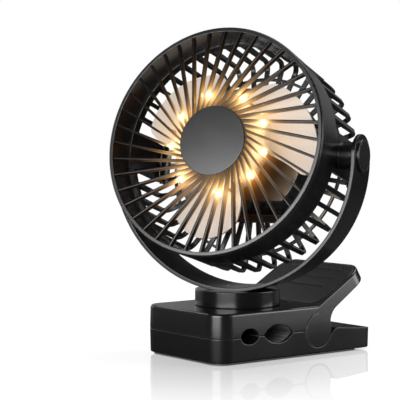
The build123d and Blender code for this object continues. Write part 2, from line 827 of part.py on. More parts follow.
with BuildPart() as yoke_arm:
    add(yoke_solid)
    for pivot in pivot_planes:
        ring(pivot.offset(pivot_seat), cap_proud + cap_bed, cap_r + 0.05, mode=Mode.SUBTRACT)
        ring(pivot.offset(stub_end), yoke_outer_r, pivot_shank_r + running_gap, mode=Mode.SUBTRACT)
        ring(pivot.offset(stub_end), yoke_inner_r - stub_end, stub_r + 0.2, mode=Mode.SUBTRACT)
    for place in yoke_screw_places:
        with Locations(place):
            Cylinder(yoke_screw_r + 0.1, yoke_screw_seat_z, align=base_aligned, mode=Mode.SUBTRACT)
        with Locations(place + Vector(0, 0, yoke_screw_seat_z)):
            Cone(yoke_screw_r + 0.1, yoke_seat_r, yoke_head_height, align=base_aligned, mode=Mode.SUBTRACT)
        with Locations(place + Vector(0, 0, yoke_screw_seat_z + yoke_head_height)):
            Cylinder(yoke_seat_r, yoke_thick, align=base_aligned, mode=Mode.SUBTRACT)
save(yoke_arm, "yoke_arm")

with BuildPart() as yoke_screws:
    for place in yoke_screw_places:
        with Locations(place + Vector(0, 0, yoke_screw_end_z)):
            Cylinder(yoke_screw_r, yoke_screw_seat_z - yoke_screw_end_z, align=base_aligned)
        with Locations(place + Vector(0, 0, yoke_screw_seat_z)):
            Cone(yoke_screw_r, yoke_head_r, yoke_head_height, align=base_aligned)
save(yoke_screws, "yoke_screws")

with BuildPart() as turntable:
    ring(Plane.XY.offset(skirt_bottom_z), turntable_top_z - skirt_bottom_z, turntable_r)
    fillet(edges().filter_by(GeomType.CIRCLE).group_by(Axis.Z)[-1], turntable_edge_r)
    chamfer(edges().filter_by(GeomType.CIRCLE).group_by(Axis.Z)[0], turntable_edge_r / 2)
    # the skirt reaches down round the fixed base ring
    skirt_inner_r = swivel_base_r + skirt_gap
    skirt_height = turntable_bottom_z - skirt_bottom_z
    ring(Plane.XY.offset(skirt_bottom_z), skirt_height, skirt_inner_r, mode=Mode.SUBTRACT)
    ring(Plane.XY.offset(spindle_end_z), turntable_bottom_z - spindle_end_z, spindle_r)
    ring(Plane.XY.offset(spindle_end_z), swivel_thread_length, swivel_screw_r, mode=Mode.SUBTRACT)
    add(yoke_solid, mode=Mode.SUBTRACT)
    for place in yoke_screw_places:
        with Locations(place + Vector(0, 0, yoke_screw_end_z)):
            Cylinder(yoke_screw_r, turntable_top_z - yoke_screw_end_z, align=base_aligned, mode=Mode.SUBTRACT)
save(turntable, "turntable")

with BuildPart() as swivel_washer:
    ring(Plane.XY.offset(spindle_end_z - washer_thick), washer_thick, washer_r, swivel_screw_r)
save(swivel_washer, "swivel_washer")

with BuildPart() as swivel_screw:
    screw_seat = Plane.XY.offset(spindle_end_z - washer_thick)
    ring(screw_seat, washer_thick + swivel_thread_length, swivel_screw_r)
    ring(screw_seat.offset(-swivel_screw_head_height), swivel_screw_head_height, swivel_screw_head_r)
save(swivel_screw, "swivel_screw")

with BuildPart() as friction_washers:
    for pivot in pivot_planes:
        washer_start = stub_end + 0.3
        ring(pivot.offset(washer_start), yoke_inner_r - washer_start, stub_r - 0.5, pivot_shank_r + 0.3)
save(friction_washers, "friction_washers")

with BuildPart() as pivot_caps:
    for pivot in pivot_planes:
        ring(pivot.offset(pivot_seat), cap_bed + cap_proud, cap_r)
        ring(pivot.offset(pivot_seat), cap_bed + cap_proud - 0.7, pivot_head_r + 0.4, mode=Mode.SUBTRACT)
    for pivot in pivot_planes:
        fillet(edges().filter_by(GeomType.CIRCLE).sort_by(Axis(tilt_centre, pivot.z_dir))[-1], 0.6)
        groove_inner_r = cap_groove_r - cap_groove_width / 2
        groove_floor = pivot.offset(yoke_outer_r + cap_proud - cap_groove_depth)
        ring(groove_floor, 1, groove_inner_r + cap_groove_width, groove_inner_r, Mode.SUBTRACT)
save(pivot_caps, "pivot_caps")

with BuildPart() as pivot_screws:
    for pivot in pivot_planes:
        ring(pivot.offset(stub_end - pivot_thread_length), pivot_thread_length, pivot_thread_r)
        ring(pivot.offset(stub_end), pivot_seat + 0.15 - stub_end, pivot_shank_r)
        ring(pivot.offset(pivot_seat + 0.15), pivot_head_height, pivot_head_r)
save(pivot_screws, "pivot_screws")

# Head: front ring, grille, hub disc and lamps

spoke_inner = sqrt((hub_r - 1.5) ** 2 - spoke_offset**2)
spoke_outer = sqrt((ring_face_inner_r + 1.2) ** 2 - spoke_offset**2)
spoke_lean = degrees(asin(spoke_offset / lamp_circle_r))
post_angles = [spoke_phase + spoke_lean + 360 / spoke_count * step for step in (2, 15, 29)]


def polar(radius, angle, height=0.0):
    return (radius * cos(radians(angle)), radius * sin(radians(angle)), height)


with BuildPart() as front_ring:
    head_turned(
        [
            (ring_face_inner_r, 0),
            (ring_r - 0.8, 0),
            (ring_r, 0.8),
            (ring_r, 1.6),
            (ring_r - 0.4, 1.9),
            (ring_r - 0.4, 2.3),
            (ring_r, 2.6),
            (skirt_end_r, skirt_depth),
            (spigot_r + 0.1, skirt_depth),
            (spigot_r + 0.1, lip_depth),
            (ring_face_inner_r - 0.4, lip_depth),
        ]
    )
save(front_ring, "front_ring")

with BuildPart() as front_grille:
    with BuildSketch(at_depth(spoke_back)):
        with PolarLocations(0, spoke_count, start_angle=spoke_phase):
            with Locations(((spoke_inner + spoke_outer) / 2, spoke_offset)):
                Rectangle(spoke_outer - spoke_inner, spoke_width)
    extrude(amount=spoke_back - spoke_front)
    add(front_ring, mode=Mode.SUBTRACT)
    head_ring(hub_disc_thick, spoke_back + 1, hub_r - 0.5)
    head_ring(0, hub_disc_thick, hub_r + 0.1, mode=Mode.SUBTRACT)
    with BuildSketch(at_depth(lamp_board_depth)):
        with Locations(*[polar(lamp_circle_r, angle) for angle in post_angles]):
            Circle(lamp_post_r)
    extrude(amount=lamp_board_depth - spoke_back + 0.5)
save(front_grille, "front_grille")

with BuildPart() as hub_disc:
    head_ring(0, hub_disc_thick, hub_r)
    fillet(edges().filter_by(GeomType.CIRCLE).sort_by(head_axis)[-1], 0.4)
save(hub_disc, "hub_disc")

with BuildPart() as lamp_board:
    with BuildSketch(at_depth(lamp_board_depth + lamp_board_thick)):
        Circle(lamp_board_r)
        Circle(lamp_board_inner_r, mode=Mode.SUBTRACT)
    extrude(amount=lamp_board_thick)
save(lamp_board, "lamp_board")

with BuildPart(head) as lamps:
    for angle in lamp_angles:
        with Locations(polar(lamp_circle_r, angle, front_z - lamp_board_depth)):
            Cylinder(lamp_r, lamp_body, align=base_aligned)
        with Locations(polar(lamp_circle_r, angle, front_z - lamp_board_depth + lamp_body)):
            Sphere(lamp_r, arc_size1=0, align=base_aligned)
save(lamps, "lamps")

# Head: slotted rear shell

corner_depth = drum_depth - drum_corner_r
housing_screw_places = [(46.7, 27), (-46.7, 27), (24, -40.6), (-24, -40.6)]
inner_corner_r = drum_corner_r - rear_thick
slot_pitch = 360 / slot_count
slot_angles = [slot_pitch * (step + 0.5) for step in range(slot_count)]
open_angles = [angle for angle in slot_angles if abs(drum_r * sin(radians(angle))) > pivot_patch_half]

with BuildPart() as slot_cut:
    slot_top = front_z - slot_start_depth
    slot_bottom = front_z - corner_depth - 4
    with BuildSketch(Plane(origin=(drum_r + 8, 0, 0), x_dir=(0, 1, 0), z_dir=(1, 0, 0))):
        with Locations((0, (slot_top + slot_bottom) / 2)):
            Rectangle(slot_width, slot_top - slot_bottom)
        fillet(vertices().sort_by(Axis.Y)[-2:], slot_corner_r)
    extrude(amount=-2 * (drum_corner_r + wall))

with BuildPart(head) as rear_shell:
    with BuildSketch(head_section):
        with BuildLine():
            outer_corner = (drum_r - drum_corner_r, front_z - corner_depth)
            Polyline(
                (0, front_z - drum_depth + rear_thick),
                (0, front_z - drum_depth),
                (drum_r - drum_corner_r, front_z - drum_depth),
            )
            CenterArc(outer_corner, drum_corner_r, 270, 90)
            Polyline(
                (drum_r, front_z - corner_depth),
                (skirt_end_r - 0.1, front_z - skirt_depth - 0.3),
                (spigot_r, front_z - skirt_depth - 0.3),
                (spigot_r, front_z - lip_depth - 0.3),
                (spigot_r - wall, front_z - lip_depth - 0.3),
                (drum_r - rear_thick, front_z - corner_depth),
            )
            CenterArc(outer_corner, inner_corner_r, 0, -90)
            Line(
                (drum_r - drum_corner_r, front_z - drum_depth + rear_thick),
                (0, front_z - drum_depth + rear_thick),
            )
        make_face()
    revolve(axis=head_axis)
    extrude(
        housing_outline(drum_depth + 1, housing_back_r + 0.3, housing_back_flat + 0.3),
        amount=2 * rear_thick,
        mode=Mode.SUBTRACT,
    )
    with BuildSketch(at_depth(drum_depth + 1)):
        Circle(drum_r + 5)
        Circle(rear_hoop_r + rear_hoop_width / 2, mode=Mode.SUBTRACT)
        Circle(rear_hoop_r - rear_hoop_width / 2)
        rim_r = housing_back_r + flange_width + 1
        rim_flat = housing_back_flat + flange_width + 1
        add(housing_outline(drum_depth + 1, rim_r, rim_flat), mode=Mode.SUBTRACT)
        with PolarLocations(0, slot_count):
            with Locations((drum_r - rear_bar_length / 2, 0)):
                Rectangle(rear_bar_length, rear_bar_width, mode=Mode.SUBTRACT)
        with Locations((drum_r, 0), (-drum_r, 0)):
            Rectangle(2 * drum_corner_r, 2 * pivot_patch_half, mode=Mode.SUBTRACT)
    extrude(amount=drum_corner_r + 1, mode=Mode.SUBTRACT)
    with Locations(*[Location((0, 0, 0), (0, 0, angle)) for angle in open_angles]):
        add(slot_cut, mode=Mode.SUBTRACT)
    for pivot in pivot_planes:
        ring(pivot.offset(drum_r - wall), stub_end - drum_r + wall, stub_r)
        ring(
            pivot.offset(stub_end - pivot_thread_length),
            pivot_thread_length,
            pivot_thread_r,
            mode=Mode.SUBTRACT,
        )
    for x, y in housing_screw_places:
        with Locations((x, y, front_z - drum_depth)):
            Cylinder(screw_r, 4 * rear_thick, mode=Mode.SUBTRACT)
            Cylinder(screw_head_r + screw_bore, 2 * (screw_head_height + screw_bore), mode=Mode.SUBTRACT)
save(rear_shell, "rear_shell")

# Head: motor housing, rear cover and controls

housing_slope = 1 / (housing_back_depth - housing_front_depth)
tube_front_depth = 25.6
flange_depth = drum_depth - rear_thick - 0.1
flange_thick = 2.0


def housing_section(depth, inset):
    part = (depth - housing_front_depth) * housing_slope
    radius = housing_front_r + (housing_back_r - housing_front_r) * part
    flat = housing_front_flat + (housing_back_flat - housing_front_flat) * part
    return housing_outline(depth, radius - inset, flat - inset)


with BuildPart(head) as motor_housing:
    loft([housing_section(housing_front_depth, 0), housing_section(housing_back_depth, 0)])
    chamfer(faces().filter_by(head).sort_by(head_axis)[-1].edges(), housing_edge)
    extrude(
        housing_outline(flange_depth, housing_back_r + flange_width, housing_back_flat + flange_width),
        amount=flange_thick,
    )
    loft(
        [
            housing_section(housing_front_depth + wall, housing_wall),
            housing_section(housing_back_depth + 1, housing_wall),
        ],
        mode=Mode.SUBTRACT,
    )
    head_ring(tube_front_depth, housing_front_depth + wall, tube_r)
    head_ring(tube_front_depth, housing_front_depth, bearing_r, mode=Mode.SUBTRACT)
    for x, y in housing_screw_places:
        with Locations((x, y, front_z - flange_depth)):
            Cylinder(screw_r, 3 * flange_thick, mode=Mode.SUBTRACT)
save(motor_housing, "motor_housing")

with BuildPart(head) as housing_screws:
    for x, y in housing_screw_places:
        with Locations((x, y, front_z - drum_depth + screw_bore)):
            Cylinder(screw_head_r, screw_head_height, align=base_aligned)
            Cylinder(screw_r, rear_thick + flange_thick - screw_bore, align=base_aligned)
save(housing_screws, "housing_screws")

cover_front_depth = housing_back_depth - cover_thick
board_back_depth = cover_front_depth - switch_room
button_heights = {"power_button": power_y, "light_button": light_y}

with BuildPart(head) as rear_cover:
    extrude(housing_section(housing_back_depth, housing_wall + 0.3), amount=cover_thick)
    with Locations(Location((0, 0, front_z - cover_front_depth))):
        with GridLocations(control_board_width - 6, control_board_height - 6, 2, 2):
            Cylinder(board_post_r, switch_room, align=base_aligned)
    with Locations(*[(0, y, front_z - housing_back_depth) for y in button_heights.values()]):
        Cylinder(button_r + button_gap, 4 * cover_thick, mode=Mode.SUBTRACT)
    with BuildSketch(at_depth(housing_back_depth)):
        with Locations((0, lens_y)):
            SlotOverall(lens_length, lens_width)
    extrude(amount=cover_thick, mode=Mode.SUBTRACT)
save(rear_cover, "rear_cover")

with BuildPart() as indicator_lens:
    with BuildSketch(at_depth(housing_back_depth + 0.3)):
        with Locations((0, lens_y)):
            SlotOverall(lens_length, lens_width)
    extrude(amount=cover_thick + 0.3)
save(indicator_lens, "indicator_lens")

with BuildPart(head) as control_board:
    with Locations((0, 0, front_z - board_back_depth)):
        Box(control_board_width, control_board_height, board_thick, align=base_aligned)
save(control_board, "control_board")

with BuildPart(head) as tact_switches:
    for y in button_heights.values():
        with Locations((0, y, front_z - board_back_depth)):
            Box(switch_size, switch_size, switch_body, align=top_aligned)
            Cylinder(switch_stem_r, switch_body + switch_stem, align=top_aligned)
save(tact_switches, "tact_switches")

for button_name, button_y in button_heights.items():
    with BuildPart(head) as button:
        with Locations((0, button_y, front_z - housing_back_depth - button_proud)):
            Cylinder(button_r, button_proud + cover_thick + button_flange, align=base_aligned)
        fillet(edges().filter_by(GeomType.CIRCLE).sort_by(head_axis)[0], 0.7)
        with Locations((0, button_y, front_z - cover_front_depth + 0.3)):
            Cylinder(button_r + 1, button_flange - 0.3, align=base_aligned)
    save(button, button_name)

# Motor and blades

hub_front_depth = 20.0
hub_back_depth = 37.0
hub_wall = 1.8
can_front_depth = hub_front_depth + hub_wall + 0.1
can_front_thick = 1.1
can_back_depth = 36.5
stator_front_depth = 26.5
stator_back_depth = 34.5
pole_count = 6
pole_width = 3.2
pole_tip = 2.0
core_r = 7.0
coil_wall = 1.2
coil_inner_r = 7.2
coil_outer_r = 10.7
bearing_width = 3.0
rear_bearing_depth = 40.0
shaft_back_depth = 43.5
magnet_front_depth = 24.5
root_pitch = 32.0
tip_pitch = 17.5
blade_root_r = 17.2
blade_corner_round = 8.0
# radius and angle from the middle line at the root, along the edge and at the corner
blade_leading = ((blade_root_r, 36.0), (43.0, 44.0), (58.5, 33.5))
blade_trailing = ((blade_root_r, -10.0), (40.0, -25.0), (61.0, -34.0))

with BuildPart() as stator_core:
    with BuildSketch(at_depth(stator_back_depth)):
        Circle(stator_r)
        Circle(stator_r - pole_tip, mode=Mode.SUBTRACT)
        with PolarLocations(stator_r, pole_count, start_angle=180 / pole_count):
            Rectangle(2 * pole_tip + 1, pole_tip, mode=Mode.SUBTRACT)
        with PolarLocations((core_r + stator_r - pole_tip) / 2, pole_count):
            Rectangle(stator_r - pole_tip - core_r + 1, pole_width)
        Circle(core_r)
        Circle(tube_r, mode=Mode.SUBTRACT)
    extrude(amount=stator_back_depth - stator_front_depth)
save(stator_core, "stator_core")

with BuildPart(head) as stator_coils:
    stator_length = stator_back_depth - stator_front_depth
    stator_middle = front_z - (stator_front_depth + stator_back_depth) / 2
    coil_width = pole_width + 2 * coil_wall
    coil_depth = stator_length + 2 * coil_wall
    with Locations(Location((0, 0, stator_middle))):
        with PolarLocations((coil_inner_r + coil_outer_r) / 2, pole_count):
            Box(coil_outer_r - coil_inner_r, coil_width, coil_depth)
            Box(stator_r, pole_width + 0.1, stator_length + 0.1, mode=Mode.SUBTRACT)
save(stator_coils, "stator_coils")

with BuildPart() as motor_bearings:
    for front in (tube_front_depth, rear_bearing_depth):
        head_ring(front, front + bearing_width, bearing_r, shaft_r + running_gap)
save(motor_bearings, "motor_bearings")

with BuildPart() as motor_shaft:
    head_ring(can_front_depth, shaft_back_depth, shaft_r)
save(motor_shaft, "motor_shaft")

with BuildPart() as rotor_can:
    head_ring(can_front_depth, can_back_depth, can_r)
    head_ring(can_front_depth + can_front_thick, can_back_depth, can_inner_r, mode=Mode.SUBTRACT)
    head_ring(can_front_depth, can_back_depth, shaft_r, mode=Mode.SUBTRACT)
save(rotor_can, "rotor_can")

with BuildPart() as rotor_magnet:
    head_ring(magnet_front_depth, can_back_depth - 0.5, can_inner_r, magnet_r)
save(rotor_magnet, "rotor_magnet")

with BuildPart() as blade:
    for radius, pitch in ((blade_root_r / 2, root_pitch), (blade_tip_r + 5, tip_pitch)):
        section_middle = head.from_local_coords((radius, 0, front_z - blade_depth))
        with BuildSketch(Plane(origin=section_middle, x_dir=head.y_dir, z_dir=head.x_dir)):
            Rectangle(2 * blade_tip_r, blade_thick, rotation=pitch)
    loft(ruled=True)
    with BuildSketch(at_depth(2 * blade_depth)):
        with BuildLine():
            for edge in (blade_leading, blade_trailing):
                ThreePointArc(*[polar(radius, angle) for radius, angle in edge])
            for end, radius in ((0, blade_root_r), (-1, blade_tip_r)):
                ThreePointArc(polar(*blade_leading[end]), (radius, 0), polar(*blade_trailing[end]))
        make_face()
        fillet(vertices().sort_by(SortBy.DISTANCE)[-2:], blade_corner_round)
    extrude(amount=2 * blade_depth, mode=Mode.INTERSECT)

with BuildPart() as fan_blades:
    head_turned(
        [
            (0, hub_front_depth),
            (blade_hub_r - 1.2, hub_front_depth),
            (blade_hub_r, hub_front_depth + 1.2),
            (blade_hub_r, hub_back_depth),
            (can_r + 0.05, hub_back_depth),
            (can_r + 0.05, hub_front_depth + hub_wall),
            (0, hub_front_depth + hub_wall),
        ]
    )
    for step in range(blade_count):
        add(blade.part.rotate(head_axis, blade_phase + 360 / blade_count * step))
save(fan_blades, "fan_blades")
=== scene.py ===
import json
import math
import bmesh
import bpy
from mathutils import Matrix, Vector


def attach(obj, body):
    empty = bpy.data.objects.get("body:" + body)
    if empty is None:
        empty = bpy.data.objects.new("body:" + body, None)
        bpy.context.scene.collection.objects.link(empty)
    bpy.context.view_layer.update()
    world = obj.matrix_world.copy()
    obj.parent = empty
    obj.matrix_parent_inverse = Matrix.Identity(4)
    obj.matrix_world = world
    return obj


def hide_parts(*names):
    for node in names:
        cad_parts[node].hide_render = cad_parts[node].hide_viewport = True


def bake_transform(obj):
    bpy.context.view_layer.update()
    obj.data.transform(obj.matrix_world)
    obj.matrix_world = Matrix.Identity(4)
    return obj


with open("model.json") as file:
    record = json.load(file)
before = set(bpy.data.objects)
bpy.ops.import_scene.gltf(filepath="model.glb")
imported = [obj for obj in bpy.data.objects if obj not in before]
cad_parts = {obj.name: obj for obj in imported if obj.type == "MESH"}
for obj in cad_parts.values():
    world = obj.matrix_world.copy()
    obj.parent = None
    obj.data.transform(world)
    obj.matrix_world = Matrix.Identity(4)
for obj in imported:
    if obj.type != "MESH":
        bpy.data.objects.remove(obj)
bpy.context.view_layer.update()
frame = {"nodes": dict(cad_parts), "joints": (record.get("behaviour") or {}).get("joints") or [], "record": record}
nodes = frame["nodes"]
joints = {joint["name"]: joint for joint in frame["joints"]}

# the head's own axes, read from the tilt and spin joints
headFacing = Vector(joints["fan_spin"]["axis"]).normalized()
headSide = -Vector(joints["head_tilt"]["axis"]).normalized()
headUp = headFacing.cross(headSide)
headCentre = Vector(joints["head_tilt"]["pos_m"])
headTurn = Matrix((headSide, headUp, headFacing)).transposed()

# shapes are drawn in millimetres, in the part's axes or in the head's
mm = 0.001
inMillimetres = Matrix.Scale(mm, 4)
inHead = Matrix.Translation(headCentre) @ headTurn.to_4x4() @ inMillimetres


class Socket:  # a node's output that takes part in sums
    def __init__(self, kit, out):
        self.kit = kit
        self.out = out

    def calc(self, operation, *others):
        terms = dict(enumerate((self, *others)))
        return self.kit.node("ShaderNodeMath", {"operation": operation}, terms)[0]

    def swapped(self, operation, other):
        return self.kit.node("ShaderNodeMath", {"operation": operation}, {0: other, 1: self})[0]

    def __add__(self, other):
        return self.calc("ADD", other)

    def __sub__(self, other):
        return self.calc("SUBTRACT", other)

    def __rsub__(self, other):
        return self.swapped("SUBTRACT", other)

    def __mul__(self, other):
        return self.calc("MULTIPLY", other)

    def __truediv__(self, other):
        return self.calc("DIVIDE", other)

    def __rtruediv__(self, other):
        return self.swapped("DIVIDE", other)

    def __pow__(self, other):
        return self.calc("POWER", other)

    def step(self, low, high):  # soft step from 0 at low to 1 at high
        settings = {"interpolation_type": "SMOOTHSTEP"}
        return self.kit.node("ShaderNodeMapRange", settings, {0: self, 1: low, 2: high})[0]

    def between(self, low, high):  # low where this is 0, high where it is 1
        return low + self * (high - low)

    __radd__ = __add__
    __rmul__ = __mul__


class Outputs:
    def __init__(self, kit, made):
        self.kit = kit
        self.made = made

    def __getitem__(self, key):
        return Socket(self.kit, self.made.outputs[key])


class NodeKit:
    def __init__(self, tree):
        self.tree = tree
        tree.nodes.clear()

    def node(self, kind, settings=None, inputs=None):  # settings first, then the sockets' values or links
        made = self.tree.nodes.new(kind)
        for name, value in (settings or {}).items():
            setattr(made, name, value)
        for name, value in (inputs or {}).items():
            if isinstance(value, Socket):
                self.tree.links.new(value.out, made.inputs[name])
            else:
                made.inputs[name].default_value = value
        return Outputs(self, made)

    def vector(self, operation, *terms):
        return self.node("ShaderNodeVectorMath", {"operation": operation}, dict(enumerate(terms)))

    def split(self, vector):
        return self.node("ShaderNodeSeparateXYZ", None, {0: vector})

    def point(self, x, y, z):
        return self.node("ShaderNodeCombineXYZ", None, {0: x, 1: y, 2: z})[0]

    def blendColour(self, amount, first, second):
        sockets = {0: amount, 6: first, 7: second}
        return self.node("ShaderNodeMix", {"data_type": "RGBA"}, sockets)[2]

    def blendShader(self, amount, first, second):
        return self.node("ShaderNodeMixShader", None, {0: amount, 1: first, 2: second})[0]


edgeValues = {"samples": 6, "reach": (0.004, 0.16)}


class Finish(NodeKit):  # a material, with its lengths in millimetres
    def __init__(self, name):
        self.material = bpy.data.materials.new(name)
        self.material.use_nodes = True
        super().__init__(self.material.node_tree)
        self.place = self.node("ShaderNodeTexCoord")["Object"]

    def noise(self, size, detail=3.0, roughness=0.5, stretch=None):  # size is the width of one blotch
        where = self.place
        if stretch:
            where = self.node("ShaderNodeMapping", None, {"Vector": where, "Scale": stretch})[0]
        sockets = {"Vector": where, "Scale": 1 / (size * mm), "Detail": detail, "Roughness": roughness}
        return self.node("ShaderNodeTexNoise", None, sockets)[0]

    def softEdge(self, radius):  # rounded normal and how near an edge a point is
        rounded = self.node("ShaderNodeBevel", {"samples": edgeValues["samples"]}, {"Radius": radius * mm})[0]
        flat = self.node("ShaderNodeNewGeometry")["Normal"]
        alike = self.vector("DOT_PRODUCT", rounded, flat)["Value"]
        return rounded, (1 - alike).step(*edgeValues["reach"])

    def grain(self, height, strength, depth, normal=None):
        sockets = {"Height": height, "Strength": strength, "Distance": depth * mm}
        if normal:
            sockets["Normal"] = normal
        return self.node("ShaderNodeBump", None, sockets)[0]

    def evenDraft(self, normal, seam, spread, tilt):  # the sides' lean turns over slowly at the parting plane
        height = self.split(self.place)[2]
        slow = height.step((seam - spread) * mm, (seam + spread) * mm)
        change = (slow - height.calc("GREATER_THAN", seam * mm)) * (2 * math.sin(math.radians(tilt)))
        moved = self.vector("ADD", normal, self.point(0, 0, change))[0]
        return self.vector("NORMALIZE", moved)[0]

    def headPlace(self):  # a point in the head's own axes
        back = headTurn.transposed()
        sockets = {"Vector": self.place, "Location": -(back @ headCentre), "Rotation": back.to_euler()}
        return self.node("ShaderNodeMapping", None, sockets)[0]

    def axisDistance(self):  # how far a point is from the head's axis
        where = self.split(self.headPlace())
        return (where[0] * where[0] + where[1] * where[1]) ** 0.5

    def lampDistance(self, squeeze=1.0, lean=(0, 0)):  # to the nearest lamp, with depth counted less
        point = self.split(self.headPlace())
        z = point[2] - (lampValues["front"] - lampValues["depth"]) * mm
        where = self.point(point[0] - z * lean[0], point[1] - z * lean[1], z * squeeze)
        nearest = None
        for place in lampPlaces(0):
            far = self.vector("DISTANCE", where, place * mm)["Value"]
            nearest = nearest.calc("MINIMUM", far) if nearest else far
        return nearest

    # paints the lamps' light as emission colour on the surface
    def stray(self, tints, squeeze=1.0, lean=(0, 0)):  # lamp light, as (reach, colour) from wide to narrow
        far = self.lampDistance(squeeze, lean)
        colour = (0, 0, 0, 1)
        for reach, tint in tints:
            share = far / (reach * mm)
            colour = self.blendColour((share * share + 1) ** -2, colour, (*tint, 1))
        return colour

    def sideOn(self, reach):  # 0 on faces that look forward, 1 on the sides
        outward = self.node("ShaderNodeTexCoord")["Normal"]
        ahead = self.vector("DOT_PRODUCT", outward, headFacing)["Value"]
        return 1 - ahead.step(*reach)

    def principled(self, constants, varying):
        shader = self.node("ShaderNodeBsdfPrincipled", None, {**constants, **varying})
        self.node("ShaderNodeOutputMaterial", None, {"Surface": shader[0]})
        return self.material


def addObject(name, data):
    made = bpy.data.objects.new(name, data)
    bpy.context.collection.objects.link(made)
    return made


def evaluatedMesh(host):
    graph = bpy.context.evaluated_depsgraph_get()
    return bpy.data.meshes.new_from_object(host.evaluated_get(graph), depsgraph=graph)


class Recipe(NodeKit):  # a geometry tree with named sizes, in millimetres, turned into a plain mesh
    def __init__(self, name, sizes):
        tree = bpy.data.node_groups.new(name, "GeometryNodeTree")
        super().__init__(tree)
        tree.interface.new_socket("Shape", in_out="OUTPUT", socket_type="NodeSocketGeometry")
        tree.interface.new_socket("Carrier", in_out="INPUT", socket_type="NodeSocketGeometry")
        self.sizes = sizes
        self.keys = {}
        for label, value in sizes.items():
            kind = "NodeSocketInt" if isinstance(value, int) else "NodeSocketFloat"
            socket = tree.interface.new_socket(label, in_out="INPUT", socket_type=kind)
            self.keys[label] = socket.identifier
        self.entry = self.node("NodeGroupInput")
        self.spares = []

    def shape(self, mesh):  # a mesh made elsewhere, for use in the tree
        spare = addObject(mesh.name, mesh)
        self.spares.append(spare)
        return self.node("GeometryNodeObjectInfo", None, {"Object": spare})["Geometry"]

    def spread(self, points, shape, turn):  # one shape on each point, turned about its own Z
        rotation = self.node("FunctionNodeEulerToRotation", None, {0: self.point(0, 0, turn)})[0]
        sockets = {"Points": points, "Instance": shape, "Rotation": rotation}
        return self.node("GeometryNodeInstanceOnPoints", None, sockets)[0]

    def ringOf(self, shape, count, phase):
        points = self.node("GeometryNodePoints", None, {"Count": count})[0]
        turn = self.node("GeometryNodeInputIndex")[0] * (2 * math.pi / count) + phase
        return self.spread(points, shape, turn)

    def join(self, *shapes):
        joined = self.node("GeometryNodeJoinGeometry")
        for shape in shapes:
            self.tree.links.new(shape.out, joined.made.inputs[0])
        return joined[0]

    def bake(self, geometry, material, carrier=None):
        real = self.node("GeometryNodeRealizeInstances", None, {0: geometry})[0]
        dressed = self.node("GeometryNodeSetMaterial", None, {0: real, "Material": material})[0]
        self.node("NodeGroupOutput", None, {0: dressed})
        host = addObject(self.tree.name, carrier or bpy.data.meshes.new(self.tree.name))
        rule = host.modifiers.new("rule", "NODES")
        rule.node_group = self.tree
        for label, value in self.sizes.items():
            rule[self.keys[label]] = value
        mesh = evaluatedMesh(host)
        for spare in (host, *self.spares):
            bpy.data.objects.remove(spare)
        return mesh


def closedMesh(form, name):  # ends a bmesh, with its faces pointing outwards
    bmesh.ops.recalc_face_normals(form, faces=form.faces)
    mesh = bpy.data.meshes.new(name)
    form.to_mesh(mesh)
    form.free()
    return mesh


def turned(name, outline, sides):  # outline is an open run of (radius, height) corners from axis to axis
    form = bmesh.new()
    rings = []
    for radius, height in outline:
        count = sides if radius > 0 else 1
        angles = [2 * math.pi * step / sides for step in range(count)]
        rings.append([form.verts.new((radius * math.cos(a), radius * math.sin(a), height)) for a in angles])
    for near, far in zip(rings, rings[1:]):
        for step in range(sides):
            places = ((near, step), (near, step + 1), (far, step + 1), (far, step))
            corners = list(dict.fromkeys(ring[place % len(ring)] for ring, place in places))
            if len(corners) > 2:
                form.faces.new(corners)
    return closedMesh(form, name)


def pointCloud(name, places, edges=()):
    mesh = bpy.data.meshes.new(name)
    mesh.from_pydata(places, edges, [])
    return mesh


def addPiece(name, mesh, replaced, body=None, sharp=32):
    mesh.shade_smooth()
    mesh.set_sharp_from_angle(angle=math.radians(sharp))
    piece = addObject(name, mesh)
    if body:
        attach(piece, body)
    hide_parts(*replaced)
    return piece


# Stage: floor, white surroundings, softboxes and the camera, in metres and degrees

stageValues = {
    "floorSize": 2.4,
    "floorDrop": 0.0002,
    "floorFade": (0.34, 0.8),
    "floorColour": (0.6, 0.6, 0.6, 1),
    "floorInGloss": (0.07, 0.07, 0.07, 1),
    "floorMirror": 0.38,
    "mirrorFade": (0.05, 0.32),
    "floorLift": 0.35,
    "ambient": 0.42,
    "roomGloss": 0.03,
    "backdropAzimuth": 178,
    "backdropReach": (0.72, 0.97),
    "backdropTop": (0.25, 0.6),
    "cameraPlace": (0.811364, -0.656157, 0.156989),
    "cameraAzimuth": 52.5291,
    "cameraElevation": 2.5099,
    "cameraLens": 129.997,
    "sensorWidth": 36,
    "lightAim": (0, 0, 0.1),
}
softboxes = {  # azimuth and elevation as seen from the object, distance, width, height, power
    "keyBox": (-69, 11, 1.5, 1.4, 0.94, 26),
    "sideBox": (50, 9, 1.5, 1.0, 0.7, 9),
    "topBox": (95, 62, 1.4, 0.9, 0.9, 6),
    "rimBox": (112, 11, 1.5, 0.8, 0.36, 0.22),
    "leftBox": (187, 41, 1.5, 0.34, 0.44, 2.2),
}


def makeCamera():
    lens = bpy.data.cameras.new("photoCamera")
    lens.lens = stageValues["cameraLens"]
    lens.sensor_width = stageValues["sensorWidth"]
    camera = addObject("photoCamera", lens)
    camera.location = stageValues["cameraPlace"]
    tip = math.radians(90 - stageValues["cameraElevation"])
    camera.rotation_euler = (tip, 0, math.radians(stageValues["cameraAzimuth"]))
    bpy.context.scene.camera = camera


def makeSoftbox(name, azimuth, elevation, distance, width, height, power):
    lamp = bpy.data.lights.new(name, "AREA")
    lamp.shape = "RECTANGLE"
    lamp.size = width
    lamp.size_y = height
    lamp.energy = power
    flat = math.cos(math.radians(elevation))
    turn = math.radians(azimuth)
    towards = Vector((math.cos(turn) * flat, math.sin(turn) * flat, math.sin(math.radians(elevation))))
    box = addObject(name, lamp)
    box.location = Vector(stageValues["lightAim"]) + towards * distance
    box.rotation_euler = towards.to_track_quat("Z", "Y").to_euler()


